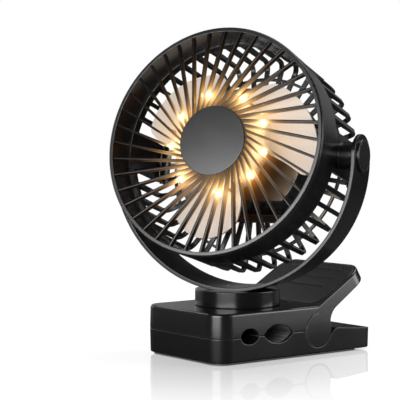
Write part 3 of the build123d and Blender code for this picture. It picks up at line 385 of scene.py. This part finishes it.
def makeSurroundings():
    world = bpy.data.worlds.new("whiteRoom")
    bpy.context.scene.world = world
    world.use_nodes = True
    kit = NodeKit(world.node_tree)
    ray = kit.node("ShaderNodeLightPath")
    sharp = ray["Is Singular Ray"]  # off the floor's mirror
    direct = ray["Is Camera Ray"] + ray["Is Transmission Ray"] + sharp  # these see plain white
    blurred = ray["Is Glossy Ray"] * (1 - sharp)
    towards = kit.node("ShaderNodeTexCoord")["Generated"]
    turn = math.radians(stageValues["backdropAzimuth"])
    facing = kit.vector("DOT_PRODUCT", towards, (math.cos(turn), math.sin(turn), 0.0))["Value"]
    low = 1 - kit.split(towards)[2].step(*stageValues["backdropTop"])
    backdrop = facing.step(*stageValues["backdropReach"]) * low  # stands behind the object
    mirrored = blurred * backdrop.between(stageValues["roomGloss"], 1)
    unseen = (1 - direct - blurred).calc("MAXIMUM", 0)
    level = direct.calc("MINIMUM", 1) + mirrored + unseen * stageValues["ambient"]
    background = kit.node("ShaderNodeBackground", None, {"Color": (1, 1, 1, 1), "Strength": level})
    kit.node("ShaderNodeOutputWorld", None, {"Surface": background[0]})


def makeFloor():
    finish = Finish("paleFloor")
    ray = finish.node("ShaderNodeLightPath")
    seen = ray["Is Camera Ray"]
    reach = finish.vector("LENGTH", finish.place)["Value"]
    tone = finish.blendColour(ray["Is Glossy Ray"], stageValues["floorColour"], stageValues["floorInGloss"])
    matt = finish.node("ShaderNodeBsdfDiffuse", None, {"Color": tone})[0]
    mirror = finish.node("ShaderNodeBsdfGlossy", None, {"Color": (1, 1, 1, 1), "Roughness": 0})[0]
    white = finish.node("ShaderNodeEmission", None, {"Strength": 1})[0]
    polish = finish.blendShader(reach.step(*stageValues["mirrorFade"]), mirror, white)
    sheet = finish.blendShader(seen * stageValues["floorMirror"], matt, polish)
    dark = finish.node("ShaderNodeEmission", None, {"Strength": 0})[0]
    lift = finish.node("ShaderNodeEmission", None, {"Strength": stageValues["floorLift"]})[0]
    glow = finish.blendShader(seen, dark, lift)
    lit = finish.node("ShaderNodeAddShader", None, {0: sheet, 1: glow})[0]
    clear = finish.node("ShaderNodeBsdfTransparent")[0]
    faded = finish.blendShader(reach.step(*stageValues["floorFade"]), lit, clear)
    finish.node("ShaderNodeOutputMaterial", None, {"Surface": faded})
    half = stageValues["floorSize"] / 2
    corners = [(-half, -half, 0), (half, -half, 0), (half, half, 0), (-half, half, 0)]
    mesh = bpy.data.meshes.new("paleFloor")
    mesh.from_pydata(corners, [], [(0, 1, 2, 3)])
    mesh.materials.append(finish.material)
    floor = addObject("paleFloor", mesh)
    floor.location.z = -stageValues["floorDrop"]


makeCamera()
makeSurroundings()
makeFloor()
for boxName, boxSizes in softboxes.items():
    makeSoftbox(boxName, *boxSizes)
bpy.context.scene.view_settings.view_transform = "Standard"
print("stage: camera,", len(softboxes), "softboxes, floor")

# Lamps: where they sit in the head, shared by the lenses, their light and the painted glow on what is near them

lampValues = {
    "angles": (107.5, 64.0, 23.5, -9.5, -38.5, -81.5, -134.5, -177.0, 148.0),
    "circle": 36.4,
    "front": 42.8,
    "depth": 9.0,
    "board": 10.6,
    "lensRadius": 2.2,
    "lightColour": (1.0, 0.62, 0.26),
    "lightDepths": {"front": (6.9, 0.0012), "back": (14.5, 0.0008)},  # depth and power
    "lightSize": 1.2,
}
# painted lamp light: emission on the spokes and the housing stands for the lamps' light falling on them
paintedLampLight = {  # on the spokes and the housing, laid out along the photo's line of sight
    "lean": (0.495, -0.22),
    "squeeze": 0.1,
    "forward": (0.2, 0.9),
    "broadShare": (0.25, 1.0),
    "spokeSpill": [(13.0, (0.4, 0.17, 0.03)), (7.0, (1.7, 0.8, 0.16)), (3.2, (3.4, 2.7, 1.4))],
    "spokeCore": [(8.0, (0.25, 0.1, 0.02)), (3.2, (3.4, 2.7, 1.4))],
    "housingSpill": [(6.0, (0.02, 0.007, 0.001))],
    "housingCore": [(8.5, (1.0, 0.3, 0.04)), (4.5, (2.2, 1.0, 0.25))],
}


def onCircle(angle, height):  # a place on the lamps' circle, in the head's axes
    turn = math.radians(angle)
    return Vector((lampValues["circle"] * math.cos(turn), lampValues["circle"] * math.sin(turn), height))


def lampPlaces(height):
    return [onCircle(angle, height) for angle in lampValues["angles"]]


# Finishes: a noise is (size, detail, roughness), a grain is (strength, depth)

blackValues = {
    "flow": (28, 2.0),
    "spark": (0.55, 2.0, 0.6),
    "dark": (0.8, 0.8, 0.82),
    "light": (1.25, 1.25, 1.3),
    "wornTint": (1, 1, 1.03),
    "wornShare": 0.6,
    "roughSpread": 0.08,
    "edgePolish": 0.05,
    "grain": (0.12, 0.05),
}


def toned(amount, parts):  # an opaque colour, lighter or darker
    return (*(amount * part for part in parts), 1)


def satinBlack(name, tone=0.004, rough=0.24, edge=0.6, edgeHighlight=0.08, gloss=0.9, glow=None, draft=None):
    values = blackValues
    finish = Finish(name)
    rounded, nearEdge = finish.softEdge(edge)
    if draft:
        rounded = finish.evenDraft(rounded, **draft)
    flow = finish.noise(*values["flow"])
    spark = finish.noise(*values["spark"])
    shade = finish.blendColour(flow, toned(tone, values["dark"]), toned(tone, values["light"]))
    # painted edge highlight: colour near edges is lightened to stand for light caught on the rounded edges
    colour = finish.blendColour(nearEdge * values["wornShare"], shade, toned(edgeHighlight, values["wornTint"]))
    least = rough - values["roughSpread"] / 2
    roughness = least + flow * values["roughSpread"] - nearEdge * values["edgePolish"]
    normal = finish.grain(spark, *values["grain"], rounded)
    varying = {"Base Color": colour, "Roughness": roughness, "Normal": normal}
    constants = {"Specular IOR Level": gloss}
    # painted lamp light: warm emission around each lamp, brighter on the sides than on the front faces
    if glow:
        broad = finish.stray(paintedLampLight[glow + "Spill"], paintedLampLight["squeeze"], paintedLampLight["lean"])
        narrow = finish.stray(paintedLampLight[glow + "Core"], paintedLampLight["squeeze"], paintedLampLight["lean"])
        share = finish.sideOn(paintedLampLight["forward"]).between(*paintedLampLight["broadShare"])
        varying["Emission Color"] = finish.blendColour(share, narrow, broad)
        constants["Emission Strength"] = 1.0
    return finish.principled(constants, varying)


rubberValues = {
    "edge": 0.3,
    "bloom": (9, 4.0),
    "pores": (0.4, 3.0, 0.7),
    "black": (0.05, 0.05, 0.05, 1),
    "dusty": (0.3, 0.298, 0.295, 1),
    "bloomShare": 0.3,
    "edgeShare": 0.7,
    "roughness": (0.42, 0.58),
    "grain": (0.2, 0.06),
    "gloss": 0.7,
}


def softRubber(name):
    values = rubberValues
    finish = Finish(name)
    rounded, nearEdge = finish.softEdge(values["edge"])
    bloom = finish.noise(*values["bloom"])
    pores = finish.noise(*values["pores"])
    # partly painted: the rubber's own bloom, plus a painted edge highlight near the edges
    dustAndSheen = bloom * values["bloomShare"] + nearEdge * values["edgeShare"]
    colour = finish.blendColour(dustAndSheen, values["black"], values["dusty"])
    normal = finish.grain(pores, *values["grain"], rounded)
    varying = {"Base Color": colour, "Roughness": bloom.between(*values["roughness"]), "Normal": normal}
    return finish.principled({"Specular IOR Level": values["gloss"]}, varying)


steelValues = {
    "edge": 0.15,
    "brush": (0.3, 3.0, 0.6),
    "stain": (6, 3.0),
    "darker": 0.72,
    "stainShare": 0.5,
    "brushShare": 0.4,
    "roughSpread": 0.14,
    "edgePolish": 0.08,
    "grain": (0.1, 0.02),
}


def platedSteel(name, tint, rough, stretch=(1, 1, 1)):
    values = steelValues
    finish = Finish(name)
    rounded, nearEdge = finish.softEdge(values["edge"])
    brushed = finish.noise(*values["brush"], stretch)
    stain = finish.noise(*values["stain"])
    share = stain * values["stainShare"] + brushed * values["brushShare"]
    colour = finish.blendColour(share, (*tint, 1), toned(values["darker"], tint))
    roughness = rough + brushed * values["roughSpread"] - nearEdge * values["edgePolish"]
    normal = finish.grain(brushed, *values["grain"], rounded)
    varying = {"Base Color": colour, "Roughness": roughness, "Normal": normal}
    return finish.principled({"Metallic": 1.0}, varying)


hubValues = {
    "edge": 0.3,
    "turningMarks": 5200,
    "cloud": (14, 2.0),
    "colours": ((0.011, 0.011, 0.011, 1), (0.017, 0.017, 0.0175, 1)),
    "edgeColour": (0.1, 0.1, 0.1, 1),
    "edgeShare": 0.5,
    "roughness": (0.15, 0.19),
    "grain": (0.05, 0.02),
    "gloss": 0.78,
}


def greyHub(name):
    values = hubValues
    finish = Finish(name)
    rounded, nearEdge = finish.softEdge(values["edge"])
    marks = (finish.axisDistance() * values["turningMarks"]).calc("SINE") * 0.5 + 0.5  # very fine rings
    cloud = finish.noise(*values["cloud"])
    colour = finish.blendColour(cloud, *values["colours"])
    # painted edge highlight: the hub's edges are lightened in colour
    colour = finish.blendColour(nearEdge * values["edgeShare"], colour, values["edgeColour"])
    normal = finish.grain(marks, *values["grain"], rounded)
    varying = {"Base Color": colour, "Roughness": cloud.between(*values["roughness"]), "Normal": normal}
    return finish.principled({"Specular IOR Level": values["gloss"]}, varying)


bladeValues = {
    "edge": 0.4,
    "cloud": (16, 3.0),
    "speck": (0.8, 2.0),
    "colours": ((0.71, 0.635, 0.565, 1), (0.77, 0.695, 0.625, 1)),
    "edgeColour": (0.86, 0.8, 0.72, 1),
    "edgeShare": 0.4,
    "roughness": (0.34, 0.44),
    "grain": (0.05, 0.03),
    "gloss": 0.4,
}


def creamBlade(name):
    values = bladeValues
    finish = Finish(name)
    rounded, nearEdge = finish.softEdge(values["edge"])
    cloud = finish.noise(*values["cloud"])
    speck = finish.noise(*values["speck"])
    colour = finish.blendColour(cloud, *values["colours"])
    # painted edge highlight: the blades' edges are lightened in colour
    colour = finish.blendColour(nearEdge * values["edgeShare"], colour, values["edgeColour"])
    normal = finish.grain(speck, *values["grain"], rounded)
    varying = {"Base Color": colour, "Roughness": cloud.between(*values["roughness"]), "Normal": normal}
    return finish.principled({"Specular IOR Level": values["gloss"]}, varying)


lensGlow = {
    "core": 0.6,
    "rimShare": 1.05,
    "colours": ((1.0, 0.96, 0.84, 1), (1.0, 0.72, 0.3, 1)),
    "ripple": (0.5, 2.0),
    "roughness": (0.15, 0.25),
    "strength": 2.6,
}


def warmLens(name):
    values = lensGlow
    finish = Finish(name)
    rim = lampValues["lensRadius"] * values["rimShare"]
    edge = finish.lampDistance().step(values["core"] * mm, rim * mm)
    tint = finish.blendColour(edge, *values["colours"])
    ripple = finish.noise(*values["ripple"])
    roughness = ripple.between(*values["roughness"])
    varying = {"Base Color": tint, "Emission Color": tint, "Roughness": roughness}
    return finish.principled({"Emission Strength": values["strength"]}, varying)


guideValues = {
    "weave": (1.2, 3.0),
    "colours": ((0.7, 0.62, 0.5, 1), (0.8, 0.72, 0.6, 1)),
    "spill": [(14.0, (0.9, 0.6, 0.23)), (7.0, (1.7, 1.3, 0.65))],
    "fade": (27.0, 38.5),
    "alpha": 0.7,
    "leastAlpha": 0.05,
    "roughness": (0.4, 0.55),
    "grain": (0.15, 0.03),
}


def lightGuide(name):  # clear outwards, milky near the hub
    values = guideValues
    finish = Finish(name)
    weave = finish.noise(*values["weave"])
    start, end = values["fade"]
    inner = 1 - finish.axisDistance().step(start * mm, end * mm)
    varying = {
        "Base Color": finish.blendColour(weave, *values["colours"]),
        "Roughness": weave.between(*values["roughness"]),
        "Normal": finish.grain(weave, *values["grain"]),
        # painted lamp light: the guide's emission brightens it around each lamp
        "Emission Color": finish.stray(values["spill"]),
        "Alpha": inner * values["alpha"] + values["leastAlpha"],
    }
    return finish.principled({"Emission Strength": 1.0}, varying)


boardValues = {
    "weave": (0.9, 2.0),
    "trackScale": 340.0,
    "trackGap": 0.06,
    "colours": ((0.012, 0.085, 0.035, 1), (0.02, 0.13, 0.055, 1)),
    "trackColour": (0.05, 0.2, 0.09, 1),
    "trackShare": 0.5,
    "roughness": (0.3, 0.5),
    "grain": (0.2, 0.03),
}


def circuitBoard(name):
    values = boardValues
    finish = Finish(name)
    weave = finish.noise(*values["weave"])
    sockets = {"Vector": finish.place, "Scale": values["trackScale"], "Mortar Size": values["trackGap"]}
    tracks = finish.node("ShaderNodeTexBrick", None, sockets)[1]
    colour = finish.blendColour(weave, *values["colours"])
    colour = finish.blendColour(tracks * values["trackShare"], colour, values["trackColour"])
    normal = finish.grain(tracks, *values["grain"])
    varying = {"Base Color": colour, "Roughness": weave.between(*values["roughness"]), "Normal": normal}
    return finish.principled({}, varying)


copperValues = {
    "strandScale": 900.0,
    "colours": ((0.36, 0.13, 0.05, 1), (0.72, 0.32, 0.14, 1)),
    "roughness": (0.3, 0.45),
    "grain": (0.6, 0.1),
}


def copperWire(name):
    values = copperValues
    finish = Finish(name)
    sockets = {"Vector": finish.place, "Scale": values["strandScale"]}
    strands = finish.node("ShaderNodeTexWave", {"wave_type": "BANDS"}, sockets)[1]
    colour = finish.blendColour(strands, *values["colours"])
    normal = finish.grain(strands, *values["grain"])
    varying = {"Base Color": colour, "Roughness": strands.between(*values["roughness"]), "Normal": normal}
    return finish.principled({"Metallic": 1.0}, varying)


windowValues = {
    "cloud": (3, 3.0),
    "colours": ((0.5, 0.52, 0.5, 1), (0.66, 0.68, 0.66, 1)),
    "roughness": (0.22, 0.32),
    "coat": 0.4,
}


def milkyWindow(name):
    values = windowValues
    finish = Finish(name)
    cloud = finish.noise(*values["cloud"])
    colour = finish.blendColour(cloud, *values["colours"])
    varying = {"Base Color": colour, "Roughness": cloud.between(*values["roughness"])}
    return finish.principled({"Coat Weight": values["coat"]}, varying)


finishes = {  # by the record's material slots
    "black_plastic": satinBlack("satinBlack"),
    "grip_panel": satinBlack("gripPanel", tone=0.005, rough=0.34),
    "button_cap": satinBlack("buttonCap", tone=0.03),
    "soft_rubber": softRubber("softRubber"),
    "steel": platedSteel("zincSteel", (0.55, 0.55, 0.56), 0.28, (1, 1, 6)),
    "hook_wire": platedSteel("hookWire", (0.62, 0.62, 0.63), 0.2, (6, 0.4, 6)),
    "magnet_plate": platedSteel("nickelPlate", (0.68, 0.67, 0.65), 0.16),
    "ferrite": platedSteel("dullFerrite", (0.09, 0.09, 0.095), 0.55),
    "cell_wrap": platedSteel("cellFoil", (0.56, 0.57, 0.59), 0.34),
    "socket_shell": platedSteel("socketShell", (0.62, 0.62, 0.63), 0.24, (6, 1, 1)),
    "copper_wire": copperWire("copperWire"),
    "circuit_board": circuitBoard("circuitBoard"),
    "hub_grey": greyHub("greyHub"),
    "blade_cream": creamBlade("creamBlade"),
    "lamp_lens": warmLens("warmLens"),
    "lamp_ring": lightGuide("lightGuide"),
    "indicator": milkyWindow("milkyWindow"),
}
jawDraft = {"seam": 18.6, "spread": 11, "tilt": 1.5}
ownFinishes = {  # solids that look a little different from the rest of their slot
    "turntable": satinBlack("drumBlack", rough=0.2, gloss=0.6),
    "yoke_arm": satinBlack("yokeBlack", gloss=0.6),
    # the clip's shells and the housing get stronger painted edge highlights
    "lower_jaw_shell": satinBlack("clipBlack", edgeHighlight=0.26),
    "upper_jaw_shell": satinBlack("leverBlack", edgeHighlight=0.26, draft=jawDraft),
    "motor_housing": satinBlack("housingBlack", edgeHighlight=0.3, glow="housing"),
}
# spokes with painted lamp light around each lamp
spokeBlack = satinBlack("spokeBlack", rough=0.2, edge=0.2, edgeHighlight=0.02, gloss=0.42, glow="spoke")
slotOf = {part["node"]: part["material_slot"] for part in frame["record"]["subparts"]}
for nodeName, solid in nodes.items():
    solid.data.materials.clear()
    solid.data.materials.append(ownFinishes.get(nodeName) or finishes[slotOf[nodeName]])
print("finishes:", len(finishes), "for slots,", len(ownFinishes) + 1, "of single pieces")

# Front grille: slanted spokes, the cup behind the hub disc and the posts of the lamp ring

grilleValues = {
    "spokes": 40,
    "phase": math.radians(7.7),
    "offset": 15.0,
    "inner": 18.1,
    "outer": 78.6,
    "width": 1.7,
    "height": 4.4,
    "rounding": 0.35,
    "roundSteps": 3,
    "middle": 40.0,
}
cupValues = {
    "outline": [
        (0, 41.25), (24.1, 41.25), (24.5, 40.9), (24.5, 37.3),
        (24.0, 36.8), (21, 36.8), (20.4, 37.6), (0, 37.6),
    ],
    "sides": 96,
}
postValues = {
    "outline": [(0, 32.25), (0.9, 32.25), (1.1, 32.5), (1.1, 38.2), (0, 38.2)],
    "sides": 16,
}
postAngles = (50.0, 167.0, 293.0)


def makeGrille():
    recipe = Recipe("grilleRule", grilleValues)
    size = recipe.entry
    start = recipe.point(size["inner"], size["offset"], size["middle"])
    end = recipe.point(size["outer"], size["offset"], size["middle"])
    path = recipe.node("GeometryNodeCurvePrimitiveLine", None, {"Start": start, "End": end})[0]
    level = recipe.node("GeometryNodeSetCurveNormal", {"mode": "Z_UP"}, {0: path})[0]
    sockets = {"Width": size["width"], "Height": size["height"]}
    box = recipe.node("GeometryNodeCurvePrimitiveQuadrilateral", None, sockets)[0]
    sockets = {0: box, "Radius": size["rounding"], "Count": size["roundSteps"]}
    profile = recipe.node("GeometryNodeFilletCurve", {"mode": "POLY"}, sockets)[0]
    bar = recipe.node("GeometryNodeCurveToMesh", None, {0: level, 1: profile, "Fill Caps": True})[0]
    spokes = recipe.ringOf(bar, size["spokes"], size["phase"])
    posts = recipe.spread(size["Carrier"], recipe.shape(turned("post", **postValues)), 0)
    cup = recipe.shape(turned("hubCup", **cupValues))
    places = [onCircle(angle, 0) for angle in postAngles]
    mesh = recipe.bake(recipe.join(spokes, posts, cup), spokeBlack, pointCloud("posts", places))
    mesh.transform(inHead)
    addPiece("grille_spokes", mesh, ["front_grille"], "head")


makeGrille()
print("grille:", grilleValues["spokes"], "spokes")

# Lamp lenses: a flange and a dome, one at each lamp's place

lensValues = {
    "flange": [(0, 0), (2.35, 0), (2.45, 0.1), (2.45, 0.45), (2.3, 0.55)],
    "neck": 0.6,
    "body": 1.0,
    "domeStep": 15,
    "sides": 24,
    "sharp": 50,
}


def makeLenses():
    radius = lampValues["lensRadius"]
    body = lensValues["body"]
    outline = [*lensValues["flange"], (radius, lensValues["neck"])]
    for angle in range(0, 90, lensValues["domeStep"]):
        turn = math.radians(angle)
        outline.append((radius * math.cos(turn), body + radius * math.sin(turn)))
    lens = turned("lens", [*outline, (0, body + radius)], lensValues["sides"])
    recipe = Recipe("lensRule", {"seat": lampValues["front"] - lampValues["board"]})
    sockets = {0: recipe.entry["Carrier"], "Offset": recipe.point(0, 0, recipe.entry["seat"])}
    seats = recipe.node("GeometryNodeSetPosition", None, sockets)[0]
    ring = recipe.spread(seats, recipe.shape(lens), 0)
    mesh = recipe.bake(ring, finishes["lamp_lens"], pointCloud("lensPlaces", lampPlaces(0)))
    mesh.transform(inHead)
    addPiece("lamp_lenses", mesh, ["lamps"], "head", lensValues["sharp"])


makeLenses()
print("lenses:", len(lampValues["angles"]))

# Screws with cross recesses, drawn with the head at the bottom and the shank upwards

screwValues = {
    "sides": 28,
    "threadStart": 0.1,
    "tipLength": 0.3,
    "tipShare": 0.5,
    "recessStart": -1,
    "recessTaper": (0.55, 0.75),
    "turnStep": 0.83,
}
domedScrew = {
    "head": [(0, 0), (1.08, 0.02), (1.8, 0.12), (2.232, 0.36), (2.4, 0.7), (2.4, 1.1)],
    "headHeight": 1.1,
    "shankRadius": 1.2,
    "thread": 0.12,
    "pitch": 0.6,
    "recessLength": 2.5,
    "recessWidth": 0.62,
    "recessDepth": 0.75,
}
sunkScrew = {
    "head": [(0, 0), (2.55, 0), (2.7, 0.12)],
    "headHeight": 1.4,
    "shankRadius": 1.5,
    "thread": 0.14,
    "pitch": 0.7,
    "recessLength": 2.9,
    "recessWidth": 0.7,
    "recessDepth": 0.9,
}
yokeSpacing = headSide * 8.0
yokeTop = Vector((0, 0, 49.2))
screwSets = {
    "base_screws": {
        "kind": domedScrew,
        "length": 8.0,
        "body": "lower_jaw",
        "matrix": inMillimetres,
        "places": [(34, -43.5, 1.8), (34, 82, 1.8), (-34, -43.5, 1.8), (-34, 82, 1.8)],
    },
    "jaw_screws": {
        "kind": domedScrew,
        "length": 8.0,
        "body": "upper_jaw",
        "matrix": inMillimetres,
        "places": [(34, -43.5, 18.95), (34, 21.4, 18.95), (-34, -43.5, 18.95), (-34, 21.4, 18.95)],
    },
    "housing_screws": {
        "kind": domedScrew,
        "length": 4.2,
        "body": "head",
        "matrix": inHead,
        "places": [(46.7, 27, -34.4), (-46.7, 27, -34.4), (24, -40.6, -34.4), (-24, -40.6, -34.4)],
    },
    "yoke_screws": {
        "kind": sunkScrew,
        "length": 8.7,
        "body": "yoke",
        "matrix": inMillimetres,
        "places": [yokeTop + yokeSpacing, yokeTop - yokeSpacing],
        "flipped": True,
    },
}


def threaded(kind, length):
    radius = kind["shankRadius"]
    root = radius - kind["thread"]
    pitch = kind["pitch"]
    start = kind["headHeight"]
    run = []
    for row in range(int((length - start) / pitch)):
        base = start + row * pitch + screwValues["threadStart"]
        run += [(radius, base), (root, base + pitch / 2)]
    tip = [(root, length - screwValues["tipLength"]), (radius * screwValues["tipShare"], length), (0, length)]
    return [*run, *tip]


def crossCut(mesh, kind):  # the mesh with a cross recess in its head
    half = kind["recessLength"] / 2
    thin = kind["recessWidth"] / 2
    corners = [(half, thin), (thin, thin), (thin, half), (-thin, half), (-thin, thin), (-half, thin)]
    corners += [(-x, -y) for x, y in corners]
    along, across = screwValues["recessTaper"]
    form = bmesh.new()
    low = [form.verts.new((x, y, screwValues["recessStart"])) for x, y in corners]
    high = [form.verts.new((x * along, y * across, kind["recessDepth"])) for x, y in corners]
    form.faces.new(low)
    form.faces.new(high)
    for step in range(len(corners)):
        after = (step + 1) % len(corners)
        form.faces.new((low[step], low[after], high[after], high[step]))
    cutter = addObject("recess", closedMesh(form, "recess"))
    host = addObject("screw", mesh)
    cut = host.modifiers.new("recess", "BOOLEAN")
    cut.object = cutter
    cut.solver = "EXACT"
    result = evaluatedMesh(host)
    for spare in (cutter, host):
        bpy.data.objects.remove(spare)
    return result


def makeScrews(node, kind, length, body, matrix, places, flipped=False):  # flipped puts the head on top
    name = "cross_" + node
    outline = [*kind["head"], (kind["shankRadius"], kind["headHeight"]), *threaded(kind, length)]
    screw = crossCut(turned("screw", outline, screwValues["sides"]), kind)
    if flipped:
        screw.transform(Matrix.Rotation(math.pi, 4, "X"))
    recipe = Recipe(name + "Rule", {"turnStep": screwValues["turnStep"]})
    turn = recipe.node("GeometryNodeInputIndex")[0] * recipe.entry["turnStep"]
    screws = recipe.spread(recipe.entry["Carrier"], recipe.shape(screw), turn)
    mesh = recipe.bake(screws, finishes["steel"], pointCloud(name, places))
    mesh.transform(matrix)
    addPiece(name, mesh, [node], body)


for screwNode, screwSet in screwSets.items():
    makeScrews(screwNode, **screwSet)
print("screws:", len(screwSets), "sets")

# Torsion spring: one wire, wound round the hinge pin

springValues = {
    "wireRadius": 0.8,
    "sides": 14,
}
springPath = {
    "centre": (39.5, 18.3),
    "coilRadius": 5.0,
    "length": 9.712,
    "start": 270.0,
    "sweep": 1589.3,
    "leg": 12.0,
    "steps": 160,
    "endStep": 0.0005,
}


def springPoint(part):
    angle = math.radians(springPath["start"] - part * springPath["sweep"])
    y, z = springPath["centre"]
    radius = springPath["coilRadius"]
    x = springPath["length"] * (part - 0.5)
    return Vector((x, y + radius * math.cos(angle), z + radius * math.sin(angle)))


def makeSpring():
    steps = springPath["steps"]
    coil = [springPoint(step / steps) for step in range(steps + 1)]
    close = springPath["endStep"]
    firstWay = (springPoint(close) - springPoint(0)).normalized()
    lastWay = (springPoint(1) - springPoint(1 - close)).normalized()
    leg = springPath["leg"]
    path = [coil[0] - firstWay * leg, coil[0] - firstWay * leg / 2, *coil]
    path += [coil[-1] + lastWay * leg / 2, coil[-1] + lastWay * leg]
    links = [(step, step + 1) for step in range(len(path) - 1)]
    recipe = Recipe("springRule", springValues)
    curve = recipe.node("GeometryNodeMeshToCurve", None, {0: recipe.entry["Carrier"]})[0]
    sockets = {"Radius": recipe.entry["wireRadius"], "Resolution": recipe.entry["sides"]}
    profile = recipe.node("GeometryNodeCurvePrimitiveCircle", None, sockets)[0]
    wire = recipe.node("GeometryNodeCurveToMesh", None, {0: curve, 1: profile, "Fill Caps": True})[0]
    mesh = recipe.bake(wire, finishes["steel"], pointCloud("springPath", path, links))
    mesh.transform(inMillimetres)
    piece = addPiece("wound_spring", mesh, ["torsion_spring"])
    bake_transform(piece)


makeSpring()
print("spring: wound")

# Toothed rubber liners of the large notch, which lies between two arcs

linerValues = {
    "centre": (1.7, 18.9),
    "halfLength": 13.8,
    "halfHeight": 7.0,
    "thick": 1.2,
    "backGap": 0.02,
    "halfWidth": 40.9,
    "teeth": 7,
    "toothRadius": 0.6,
    "endRound": 0.35,
    "endPull": 0.35,
    "steps": 168,
    "sharp": 40,
    "lowerTop": 18.4,
    "upperBottom": 18.75,
}


def arcCorner(length, height):  # radius and half angle of an arc of that half length and height
    radius = (length * length + height * height) / (2 * height)
    return radius, math.asin(length / radius)


def arcPoint(radius, height, angle, lift):  # lift is how far the point stands inside the arc
    y = linerValues["centre"][0] + (radius - lift) * math.sin(angle)
    return y, height - radius + (radius - lift) * math.cos(angle)


def linerSection(end):  # inner and outer points along the arcs, which stop at that height over the middle
    sizes = linerValues
    height = sizes["halfHeight"]
    radius, half = arcCorner(sizes["halfLength"], height)
    outerHeight = height + sizes["thick"]
    outerRadius = arcCorner(sizes["halfLength"] + sizes["thick"], outerHeight)[0]
    teeth = [half * (2 * (row + 1) / (sizes["teeth"] + 1) - 1) for row in range(sizes["teeth"])]
    reach = math.acos((end - height + radius) / radius)
    outerReach = math.acos((end - outerHeight + outerRadius) / outerRadius)
    section = []
    for step in range(sizes["steps"] + 1):
        share = 2 * step / sizes["steps"] - 1
        angle = share * reach
        nearest = min(abs(angle - tooth) for tooth in teeth) * radius
        lift = math.sqrt(max(0.0, sizes["toothRadius"] ** 2 - nearest ** 2))
        inner = arcPoint(radius, height, angle, lift)
        outer = arcPoint(outerRadius, outerHeight, share * outerReach, sizes["backGap"])
        section.append((inner, outer))
    return section


def makeLiner(name, node, body, side, level):
    sizes = linerValues
    base = sizes["centre"][1]
    section = linerSection(side * (level - base))
    form = bmesh.new()
    rows = []
    for way, end in ((-1, 1), (-1, 0), (1, 0), (1, 1)):  # end is 1 on the drawn-in rows
        x = way * (sizes["halfWidth"] - sizes["endRound"] * (1 - end))
        pull = sizes["endPull"] * end
        row = []
        for pair in section:
            middle = [sum(both) / 2 for both in zip(*pair)]
            made = []
            for point in pair:
                y, z = (at + (centre - at) * pull for at, centre in zip(point, middle))
                made.append(form.verts.new((x, y, base + side * z)))
            row.append(made)
        rows.append(row)
    last = len(section) - 1
    for step in range(last):
        for row in (rows[0], rows[-1]):
            form.faces.new((row[step][0], row[step + 1][0], row[step + 1][1], row[step][1]))
    for near, far in zip(rows, rows[1:]):
        for step in range(last):
            for kind in (0, 1):
                form.faces.new((near[step][kind], near[step + 1][kind], far[step + 1][kind], far[step][kind]))
        for step in (0, last):
            form.faces.new((near[step][0], near[step][1], far[step][1], far[step][0]))
    mesh = closedMesh(form, name)
    mesh.transform(inMillimetres)
    mesh.materials.append(finishes["soft_rubber"])
    addPiece(name, mesh, [node], body, sizes["sharp"])


makeLiner("lower_liner", "lower_grip_pad", "lower_jaw", -1, linerValues["lowerTop"])
makeLiner("upper_liner", "upper_grip_pad", "upper_jaw", 1, linerValues["upperBottom"])
print("liners:", linerValues["teeth"], "teeth a side")

# Rubber foot ring with softened edges

footValues = {
    "merge": 0.01,
    "flatAngle": 1,
    "edgeAngle": 40,
    "rounding": 0.35,
    "segments": 3,
    "profile": 0.5,
}


def makeFoot():
    form = bmesh.new()
    form.from_mesh(nodes["foot_ring"].data)
    bmesh.ops.remove_doubles(form, verts=form.verts, dist=footValues["merge"] * mm)
    flat = math.radians(footValues["flatAngle"])
    bmesh.ops.dissolve_limit(form, angle_limit=flat, verts=form.verts, edges=form.edges)
    sharp = math.radians(footValues["edgeAngle"])
    bmesh.ops.bevel(
        form,
        geom=[edge for edge in form.edges if edge.is_manifold and edge.calc_face_angle() > sharp],
        offset=footValues["rounding"] * mm,
        segments=footValues["segments"],
        profile=footValues["profile"],
        affect="EDGES",
    )
    mesh = closedMesh(form, "foot_band")
    mesh.materials.clear()
    mesh.materials.append(finishes["soft_rubber"])
    addPiece("foot_band", mesh, ["foot_ring"], "lower_jaw")


makeFoot()
print("foot band: softened")

# Lamp light: a small warm light in front of each lens and one behind it


def lightLamps():
    for side, (depth, power) in lampValues["lightDepths"].items():
        lamp = bpy.data.lights.new(side + "LampLight", "POINT")
        lamp.color = lampValues["lightColour"]
        lamp.energy = power
        lamp.shadow_soft_size = lampValues["lightSize"] * mm
        for number, place in enumerate(lampPlaces(lampValues["front"] - depth)):
            light = addObject(f"{side}LampLight{number + 1}", lamp)
            light.location = inHead @ place
            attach(light, "head")


lightLamps()
print("lamps lit:", len(lampValues["angles"]))

bpy.context.view_layer.update()
